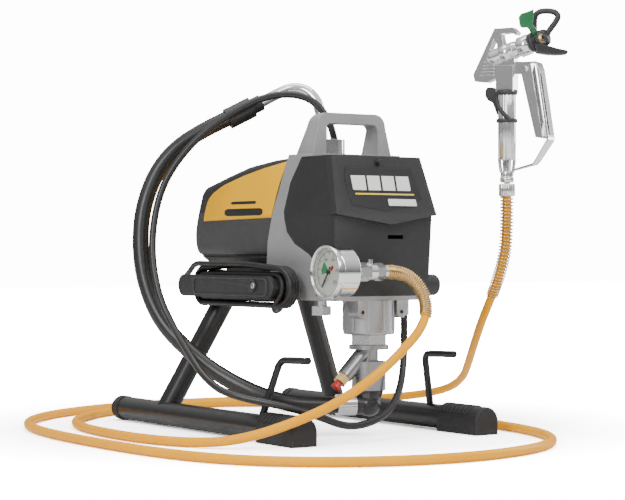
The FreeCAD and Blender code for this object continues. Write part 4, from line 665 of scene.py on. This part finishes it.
def make_badge_art():
    """Plain bars where a name would be, with slanted gaps, and a flat dark disc of painted shade round the
    cover's screw, standing for its shadowed recess.
    """
    marks = (("badge_bar_wide", -48, 323.5, 44, 349, "mark_white", 2.0),
             ("badge_line", -46, 317.6, 48, 319.6, "mark_yellow", 0.8),
             ("badge_bar_small", 4, 303.5, 49, 312.5, "mark_white", 1.6))
    for name, u0, v0, u1, v1, look, radius in marks:
        obj = prism(name, rounded_box(u0, v0, u1, v1, radius), 0.1, 0.5, cover_place, look)
    for k, u in enumerate(BADGE_GAP_STARTS):
        gap = [(u, 322), (u + 3, 322), (u + 5, 351), (u + 2, 351)]
        obj = prism("badge_gap_%d" % k, gap, 0.4, 0.7, cover_place, "badge")
    # A flat dark disc on the hood: painted shade for the shadowed recess that the cover's screw sits in.
    rim = rounded_box(-4.6, -4.6, 4.6, 4.6, 4.5, 8)
    screw_shade_disc = prism("cover_screw_painted_shade", rim, 0.0, 0.9,
                 lambda u, v, w: cover_place(u, COVER_SCREW_HEIGHT + v, w), "mark_dark")


GAUGE_CENTRE = (-241, 218)
BEZEL_X = -111
DIAL_START, DIAL_SWEEP = 225, 270
DIAL_TICKS, TICKS_PER_LONG = 50, 5
TICK_OUTER, LONG_TICK, SHORT_TICK = 26.4, (21.5, 0.42), (24.2, 0.2)
SECTOR_RADIUS, NUMBER_RADIUS, NUMBER_SIZE = 17, 17.2, 5.2
# Heights of the print above the dial: fields of colour, the scale, and the numbers.
FIELD_PRINT, SCALE_PRINT, NUMBER_PRINT = (0.03, 0.09), (0.05, 0.12), 0.14


def dial_place(depth):
    """Seen from the side that the dial faces: right, up, and height off the dial."""
    return lambda u, v, w: (depth - w, GAUGE_CENTRE[0] - u, GAUGE_CENTRE[1] + v)


def arc_outline(inner, outer, start, end, steps):
    angles = [math.radians(start + (end - start) * k / steps) for k in range(steps + 1)]
    return [(outer * math.cos(a), outer * math.sin(a)) for a in angles] \
        + [(inner * math.cos(a), inner * math.sin(a)) for a in reversed(angles)]


def make_gauge_ticks(place):
    points, faces = [], []
    for k in range(DIAL_TICKS + 1):
        angle = math.radians(DIAL_START - DIAL_SWEEP * k / DIAL_TICKS)
        inner, half = SHORT_TICK if k % TICKS_PER_LONG else LONG_TICK
        along, side = (math.cos(angle), math.sin(angle)), (-math.sin(angle), math.cos(angle))
        corners = [(inner, -half), (TICK_OUTER, -half), (TICK_OUTER, half), (inner, half)]
        base = len(points)
        points += [place(a * along[0] + b * side[0], a * along[1] + b * side[1], SCALE_PRINT[1])
                   for a, b in corners]
        faces.append((base, base + 1, base + 2, base + 3))
    return mesh_piece("gauge_ticks", points, faces, "mark_dark", smooth=False)


def make_gauge_number(name, text, angle, place):
    letters = bpy.data.curves.new("number", "FONT")
    letters.body = text
    letters.size = NUMBER_SIZE * MM
    letters.align_x = "CENTER"
    letters.align_y = "CENTER"
    probe = linked("probe_text", letters)
    data = bpy.data.meshes.new_from_object(probe)
    bpy.data.objects.remove(probe)
    across_by, up_by = NUMBER_RADIUS * math.cos(angle), NUMBER_RADIUS * math.sin(angle)
    for vertex in data.vertices:
        flat = place(across_by + vertex.co.x / MM, up_by + vertex.co.y / MM, NUMBER_PRINT)
        vertex.co = Vector(flat) * MM
    number = give(linked(name, data), "mark_dark")
    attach(number, "root")
    return number


def make_gauge_art():
    low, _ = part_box("gauge_dial")
    place = dial_place(low[0] / MM)
    line = arc_outline(TICK_OUTER, 26.9, DIAL_START, DIAL_START - DIAL_SWEEP, 60)
    green = [(0, 0)]
    for angle in [math.radians(a) for a in range(130, 196, 6)]:
        green.append((SECTOR_RADIUS * math.cos(angle), SECTOR_RADIUS * math.sin(angle)))
    red = [(2, 1), (7, 2.5), (9.5, 6), (8, 9), (4.5, 7.5)]
    pieces = [make_gauge_ticks(place),
              prism("gauge_scale_line", line, *SCALE_PRINT, place, "mark_dark"),
              prism("gauge_green_sector", green, *FIELD_PRINT, place, "mark_green"),
              prism("gauge_red_mark", red, *FIELD_PRINT, place, "mark_red")]
    for k, text in enumerate(("0", "50", "100", "150", "200", "250")):
        angle = math.radians(DIAL_START - DIAL_SWEEP / 5 * k)
        pieces.append(make_gauge_number("gauge_number_%d" % k, text, angle, place))
    bezel = turned("gauge_bezel_ring", (BEZEL_X, *GAUGE_CENTRE), (1, 0, 0),
                   [(0.4, 30.2), (-1.2, 31.2), (-1.8, 32.4), (-1.4, 33.6), (0.2, 34.2), (7.2, 34.2),
                    (7.8, 33.6), (7.8, 31.8), (2.0, 31.6)], "gauge_case", segments=96, closed=True)


WRAP_FACE = -123
WRAP_SCREW = (-123.2, -87, 199)


def wrap_place(u, v, w):
    """On the outer face of the cord wrap: along y, up, and out from it."""
    return (WRAP_FACE - w, u, v)


def make_wrap_details():
    """Raised border round the wrap's face, and its screw in a well."""
    outer, inner = rounded_box(-122, 184.5, 70, 209.5, 8, 8), rounded_box(-119, 187, 67, 207, 6, 8)
    border = ((outer, -0.5), (outer, 1.1), (inner, 1.1), (inner, -0.5))
    points = [wrap_place(u, v, w) for outline, w in border for u, v in outline]
    frame_ring = mesh_piece("wrap_face_border", points, ring_faces(len(border), len(outer)), "cover_black")
    well = turned("wrap_screw_well", WRAP_SCREW, (-1, 0, 0),
                  [(0, 8.6), (1.6, 8.2), (1.6, 6.2), (0.2, 5.8)], "cover_black", segments=40)
    head = turned("wrap_screw_head", WRAP_SCREW, (-1, 0, 0), [(0, 4.6), (1.0, 4.4), (1.5, 2.6)], "steel",
                  segments=32)


make_badge_art()
make_gauge_art()
make_wrap_details()


# ---------------------------------------------------------------- gun

# The handle's axis at the floor, in millimetres, and the gun's own directions.
GUN = Vector((230, -183, 0))
FORWARD, SIDE, UP = Vector((0.4462, -0.8949, 0)), Vector((0.8949, 0.4462, 0)), Vector((0, 0, 1))
BARREL = Vector((0.4231, -0.8486, 0.3173))
BARREL_BEHIND, BARREL_HEIGHT, TIP_AHEAD = 16, 512, 67
BARREL_START = GUN - FORWARD * BARREL_BEHIND + UP * BARREL_HEIGHT
TIP = BARREL_START + BARREL * TIP_AHEAD
TIP_AXIS = Vector((-0.6293, -0.0233, 0.7768))
# The flat frame in which the guard's loop, its wing and the key are drawn: across, up and depth.
LEVEL, DEPTH = Vector((0.8329, -0.5534, 0)), Vector((0.5534, 0.8329, 0))


FLUTE_WAVE = (0.0, 0.35, 0.85, 1.0, 0.85, 0.35)
CHAMFER, CHAMFER_SHARE = 1.5, 0.93


def gun_place(u, v, w):
    """In the gun's side view: forward, height, and sideways."""
    return tuple(GUN + FORWARD * u + UP * v + SIDE * w)


def tip_place(u, v, w):
    """In the tip's flat frame, from the tip's centre."""
    return tuple(TIP + LEVEL * u + UP * v + DEPTH * w)


def around_handle(degrees):
    """The direction out from the handle's axis, turned from forward towards the side."""
    angle = math.radians(degrees)
    return FORWARD * math.cos(angle) + SIDE * math.sin(angle)


def fluted(name, low, high, radius, flutes, depth):
    """An upright chrome tube round the handle's axis with grooves down it."""
    segments = flutes * len(FLUTE_WAVE)
    points = []
    rows = [(low, CHAMFER_SHARE), (low + CHAMFER, 1.0), (high - CHAMFER, 1.0), (high, CHAMFER_SHARE)]
    for z, share in rows:
        for k in range(segments):
            wave = FLUTE_WAVE[k % len(FLUTE_WAVE)]
            reach = (radius - depth * (1 - wave)) * share
            points.append(tuple(GUN + UP * z + around_handle(360 * k / segments) * reach))
    faces = ring_faces(len(rows), segments) + ring_ends(len(rows), segments)
    obj = mesh_piece(name, points, faces, "chrome", "gun")
    return obj


def flat_bar(name, stations, thick, look, edge):
    """A flat strap through (u, v, half width) in the gun's side view, thick measured outwards."""
    points = []
    for i, (u, v, half) in enumerate(stations):
        before, after = stations[max(i - 1, 0)], stations[min(i + 1, len(stations) - 1)]
        along = Vector((after[0] - before[0], after[1] - before[1])).normalized()
        out = Vector((-along.y, along.x)) * thick / 2
        for side, turn in ((-1, -1), (1, -1), (1, 1), (-1, 1)):
            points.append(gun_place(u + out.x * turn, v + out.y * turn, half * side))
    faces = ring_faces(len(stations), 4) + ring_ends(len(stations), 4)
    return bevelled(mesh_piece(name, points, faces, look, "gun"), edge)


def bar(name, route, radius, look, body):
    """A round bar through points in millimetres."""
    metres = [Vector(place) * MM for place in route]
    obj = give(curve(name, "NURBS", metres, radius * MM, 6, 5), look)
    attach(obj, body)
    return obj


def make_gun_handle():
    """Fluted tube, a cage of four slanted posts round a stem, the nut and the knurled swivel."""
    tube = fluted("handle_tube", 370, 466, 12.6, 14, 0.9)
    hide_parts("gun_handle")
    for k in range(4):
        out = around_handle(45 + 90 * k)
        route = [GUN + out * reach + UP * z for reach, z in ((11, 372), (10.4, 362), (8.4, 353))]
        post = bar("handle_cage_%d" % k, route, 2.4, "chrome", "gun")
    stem = turned("handle_stem", GUN + UP * 338, UP, [(0, 4.5), (16, 4.5), (17, 3.5), (33, 3.5)], "steel",
                  "gun", 32)
    nut = turned("handle_nut", GUN + UP * 339, UP,
                 [(0, 9.6), (0.8, 10.6), (7, 10.6), (7.8, 9.4), (9, 9.4), (14, 9.9), (15.5, 9.2)], "chrome",
                 "gun", 6)
    swivel = fluted("handle_swivel", 320, 337.5, 11.3, 24, 0.7)


def make_gun_guard():
    """The strap in front of the trigger, with a dark strip of painted shade down its face standing for its
    channel.
    """
    strap = flat_bar("guard_strap",
                     [(36, 502.5, 5), (43, 503, 8), (47.5, 501.5, 11), (50.5, 492, 12), (58, 446, 12),
                      (65, 400, 12), (65, 396, 12), (60.5, 389.5, 11.5), (46, 368, 9.5), (42, 363.7, 8.5),
                      (30, 360.8, 6), (10, 356, 4.5)], 2.6, "chrome", 0.8)
    # A thin dark strip laid on the strap's face: painted shade for the recess of its channel.
    channel_shade = flat_bar("guard_channel_painted_shade", [(53.4, 487, 6.5), (60, 446, 7), (66.5, 403, 7)], 0.7,
                       "steel_dark", 0.2)
    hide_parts("trigger_guard")


def make_gun_head():
    """Barrel, hex nut, ribs and screw heads of the gun's head, over its cast frame."""
    barrel = turned("barrel_tube", BARREL_START, BARREL,
                    [(-9, 9.5), (-8, 11.5), (-2, 12.4), (6, 12.4), (7, 11.2), (9, 11.2), (10, 12.9),
                     (22, 12.9), (23, 11.8), (33, 11.8), (34, 10.5), (58, 10.5)], "chrome", "gun")
    nut = turned("barrel_nut", BARREL_START + BARREL * 36, BARREL,
                 [(0, 12.2), (1, 14.2), (17, 14.2), (18, 12.4)], "chrome", "gun", 6)
    for k in range(5):
        z = 486 + 4.6 * k
        outline = rounded_box(-38 + 1.6 * k, z, -16, z + 2.2, 1.0, 4)
        prism("head_rib_%d" % k, outline, -8.2, 8.2, gun_place, "chrome", "gun", bevel=0.5)
    turned("trigger_pin_cap", gun_place(32, 494, -9.6), SIDE,
                         [(0, 2.6), (0.6, 4.2), (1.4, 4.4), (18, 4.4), (18.8, 4.0), (19.2, 2.6)], "steel",
                         "gun", 32)


def make_lock_clip():
    """Two bands round the handle, the spine that winds from one to the other, and the thumb tab."""
    high = turned("lock_upper_band", GUN + UP * 460, UP, [(0, 13.0), (0.5, 14.7), (6.5, 14.7), (7, 13.0)],
                  "knob_black", "lock", 48)
    low = turned("lock_lower_band", GUN + UP * 421.5, UP, [(0, 13.0), (0.5, 14.6), (5, 14.6), (5.5, 13.0)],
                 "knob_black", "lock", 48)
    route = []
    for share in [k / 6 for k in range(7)]:
        route.append(GUN + around_handle(-165 + 120 * share ** 1.5) * 13.8 + UP * (462 - 38 * share))
    spine = bar("lock_spine", route, 2.9, "knob_black", "lock")
    outline = [(-12, 467), (-20, 471), (-28, 471.5), (-31, 467), (-31, 459), (-27, 453), (-20, 449.5),
               (-16.5, 441), (-13, 432)]
    tab = prism("lock_thumb_tab", outline, -5, 5, gun_place, "knob_black", "lock", bevel=1.6)
    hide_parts("trigger_lock")


def make_tip_guard():
    """Housing on the barrel, the loop and the lower wing, and the bronze tip behind its slot, whose opening
    is a flat dark patch of painted shade.
    """
    housing = turned("guard_housing", BARREL_START + BARREL * 55, BARREL,
                     [(0, 11.5), (1, 13.8), (6, 14.0), (7, 12.8), (14, 12.4), (20, 12), (25, 10.6),
                      (27, 7.5)], "guard_black", "guard")
    loop_route = [(-4, -4, 0), (-6, 8, 1), (-6, 20, 2), (-5.5, 33, 3), (0, 39, 2), (12, 40, -1),
                  (23, 37.5, -4), (26.5, 31, -6), (21, 22, -6), (12, 10.5, -5), (6, -2, -3)]
    loop = bar("guard_loop", [tip_place(u, v, w) for u, v, w in loop_route], 4.1, "guard_black", "guard")
    wing_outline = [(-8, -6), (2, -7), (10, -9), (24, -13), (36, -15.5), (38.5, -17.5), (37, -20.5),
                    (22, -21.5), (8, -20.5), (-4, -18.5)]
    wing = prism("guard_wing", wing_outline, -18, 4, tip_place, "guard_black", "guard", 1.6)
    ring_face = (BARREL * 0.9 - DEPTH * 0.9).normalized()
    ring_side = ring_face.cross(UP).normalized()
    centre = Vector(tip_place(2, 0.5, -13))
    bore = turned("tip_bezel", centre, ring_face, [(-5, 9.6), (1.4, 9.2), (2.6, 8.0), (2.6, 6.8), (1.8, 6.4)],
                  "guard_black", "guard", 48)
    seat = turned("tip_seat", centre, ring_face, [(0, 7.0), (2.4, 6.8), (3.0, 6.0)], "tip_bronze", "guard",
                  48)
    # A flat dark patch on the tip's seat: painted shade standing for the opening of the tip's slot.
    slot_shade = prism("tip_slot_painted_shade", rounded_box(-1.6, -3.6, 1.6, 3.6, 1.4, 4), 2.6, 3.3,
                 lambda u, v, w: tuple(centre + ring_face * w + ring_side * u + UP * v), "mark_dark",
                 "guard")
    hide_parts("tip_guard")


def make_tip_key():
    """The green flag that turns the spray tip, and its stem."""
    outline = [(-28.5, 24), (-29.3, 30), (-26, 34.5), (-18, 36.8), (-12, 39), (-8.8, 41.5), (-8.6, 33),
               (-9.2, 25), (-9.6, 17), (-11, 12.5), (-15, 12.3), (-17.5, 15.7), (-24.5, 14.6), (-27.8, 18)]
    key = prism("key_flag", outline, -17, -11, tip_place, "key_green", "tip", bevel=1.8)
    stem = turned("key_stem", TIP - TIP_AXIS * 8, TIP_AXIS, [(0, 4.9), (26, 4.9), (30, 4.2)], "key_green",
                  "tip", 40)
    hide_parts("tip_key")


make_gun_handle()
make_gun_guard()
make_gun_head()
make_lock_clip()
make_tip_guard()
make_tip_key()


# ---------------------------------------------------------------- nodes that are shown as they are

BEVELS = {"gear_casing": 4.0, "front_cover": 1.4, "foot_caps": 1.0, "pump_housing": 0.9, "cord_wrap": 1.2,
          "base_bracket": 0.8, "gun_body": 2.2, "gun_trigger": 0.7, "power_plug": 0.8, "lock_nut": 0.6,
          "prime_lever": 0.8, "power_switch": 0.6, "suction_elbow": 0.8, "pump_cylinder": 0.6}
PLAIN_BEVEL, FLAT_DEGREES, WELD_DISTANCE = 0.4, 0.6, 1e-6
REPLACED = {"paint_hose", "outlet_spring", "gun_spring", "suction_hose", "return_hose", "power_cord_coil",
            "power_cord_lead", "motor_shroud", "side_panels", "gun_handle", "trigger_guard", "trigger_lock",
            "tip_guard", "tip_key"}


def finish_node(name, obj):
    """The look named by the node's own material, with the case screws darkened as painted shade of their
    recesses; smooth shading and eased edges.
    """
    # The case screws take the dark black_fitting look so that they read as dark holes: painted shade of the
    # recesses they sit in.
    look = "black_fitting" if name == "case_screws" else obj.data.materials[0].name.split(".")[0]
    give(obj, look)
    for polygon in obj.data.polygons:
        polygon.use_smooth = True
    custom = obj.data.attributes.get("custom_normal")
    if custom:
        obj.data.attributes.remove(custom)
    weld = obj.modifiers.new("weld", "WELD")
    weld.merge_threshold = WELD_DISTANCE
    flat = obj.modifiers.new("flat", "DECIMATE")
    flat.decimate_type = "DISSOLVE"
    flat.angle_limit = math.radians(FLAT_DEGREES)
    bevelled(obj, BEVELS.get(name, PLAIN_BEVEL))


for name, obj in NODES.items():
    if name not in REPLACED:
        finish_node(name, obj)


# ---------------------------------------------------------------- room, light and camera

# Strength of the room to the object, from each side, and to the camera.
WALLS, CEILING, GROUND, BACKDROP = 0.16, 1.0, 0.75, 14
# The floor's shade, and what the camera sees of it near the object and far off, by distance in metres.
FLOOR_SHADE, FLOOR_NEAR, FLOOR_FAR = (0.86, 0.86, 0.86, 1), (4.2, 4.2, 4.25, 1), (40, 40, 40, 1)
FLOOR_FADE = (0.35, 1.6)
FLOOR_REACH, FLOOR_HEIGHT = 9000, -0.2
# Each light's name, place, target, width, height and power.
LIGHTS = (("key", (-2.3, -1.3, 1.5), (0, -0.05, 0.22), 0.9, 1.6, 44),
          ("front", (0.2, -2.6, 1.9), (0, 0, 0.25), 1.6, 0.8, 26),
          ("top", (0.1, 0.1, 2.2), (0, 0, 0.2), 1.6, 1.6, 24),
          ("rim", (2.2, -0.3, 1.0), (0.1, 0, 0.3), 0.5, 1.6, 22))
CAMERA_PLACE, CAMERA_TURN, CAMERA_LENS, CAMERA_SENSOR = (-1.4654, -2.2499, 0.246), -33.6, 111, 36


def area(name, place, target, width, height, power):
    data = bpy.data.lights.new(name, "AREA")
    data.shape = "RECTANGLE"
    data.size = width
    data.size_y = height
    data.energy = power
    obj = linked(name, data)
    obj.location = place
    obj.rotation_euler = (Vector(target) - Vector(place)).to_track_quat("-Z", "Y").to_euler()


def seen_directly(tree):
    return new_node(tree, "ShaderNodeLightPath").outputs["Is Camera Ray"]


def make_world():
    """White to the camera. To the object it is a dim room with a bright ceiling and floor."""
    world = bpy.context.scene.world or bpy.data.worlds.new("world")
    bpy.context.scene.world = world
    world.use_nodes = True
    tree = world.node_tree
    background = tree.nodes["Background"]
    direction = new_node(tree, "ShaderNodeTexCoord").outputs["Generated"]
    split = new_node(tree, "ShaderNodeSeparateXYZ")
    tree.links.new(direction, split.inputs["Vector"])
    ceiling = ramp(tree, split.outputs["Z"], 0.05, 0.75, WALLS, CEILING)
    ground = ramp(tree, split.outputs["Z"], -0.6, -0.05, GROUND, WALLS)
    brighter = new_node(tree, "ShaderNodeMath", operation="MAXIMUM")
    tree.links.new(ceiling, brighter.inputs[0])
    tree.links.new(ground, brighter.inputs[1])
    strength = new_node(tree, "ShaderNodeMix", data_type="FLOAT")
    tree.links.new(seen_directly(tree), strength.inputs[0])
    tree.links.new(brighter.outputs["Value"], strength.inputs[2])
    strength.inputs[3].default_value = BACKDROP
    tree.links.new(strength.outputs[0], background.inputs["Strength"])
    background.inputs["Color"].default_value = (1, 1, 1, 1)


def make_floor():
    """A plain pale floor whose shade fades into the backdrop away from the object."""
    corners = [(x * FLOOR_REACH, y * FLOOR_REACH, FLOOR_HEIGHT)
               for x, y in ((-1, -1), (1, -1), (1, 1), (-1, 1))]
    floor = mesh_piece("floor", corners, [(0, 1, 2, 3)], "backdrop", smooth=False)
    tree = floor.data.materials[0].node_tree
    shader = tree.nodes["Principled BSDF"]
    plain = new_node(tree, "ShaderNodeBsdfDiffuse")
    distance = new_node(tree, "ShaderNodeVectorMath", operation="LENGTH")
    tree.links.new(new_node(tree, "ShaderNodeTexCoord").outputs["Object"], distance.inputs[0])
    far = ramp(tree, distance.outputs["Value"], *FLOOR_FADE, 0, 1)
    white = color_mix(tree, far, FLOOR_NEAR, FLOOR_FAR)
    shade = color_mix(tree, seen_directly(tree), FLOOR_SHADE, white)
    tree.links.new(shade, plain.inputs["Color"])
    tree.links.new(plain.outputs["BSDF"], tree.nodes["Material Output"].inputs["Surface"])
    tree.nodes.remove(shader)


def make_room():
    make_world()
    make_floor()
    for light in LIGHTS:
        area(*light)


def make_camera():
    data = bpy.data.cameras.new("camera")
    data.lens = CAMERA_LENS
    data.sensor_width = CAMERA_SENSOR
    obj = linked("camera", data)
    obj.location = CAMERA_PLACE
    obj.rotation_euler = (math.radians(90), 0, math.radians(CAMERA_TURN))
    bpy.context.scene.camera = obj


make_room()
make_camera()
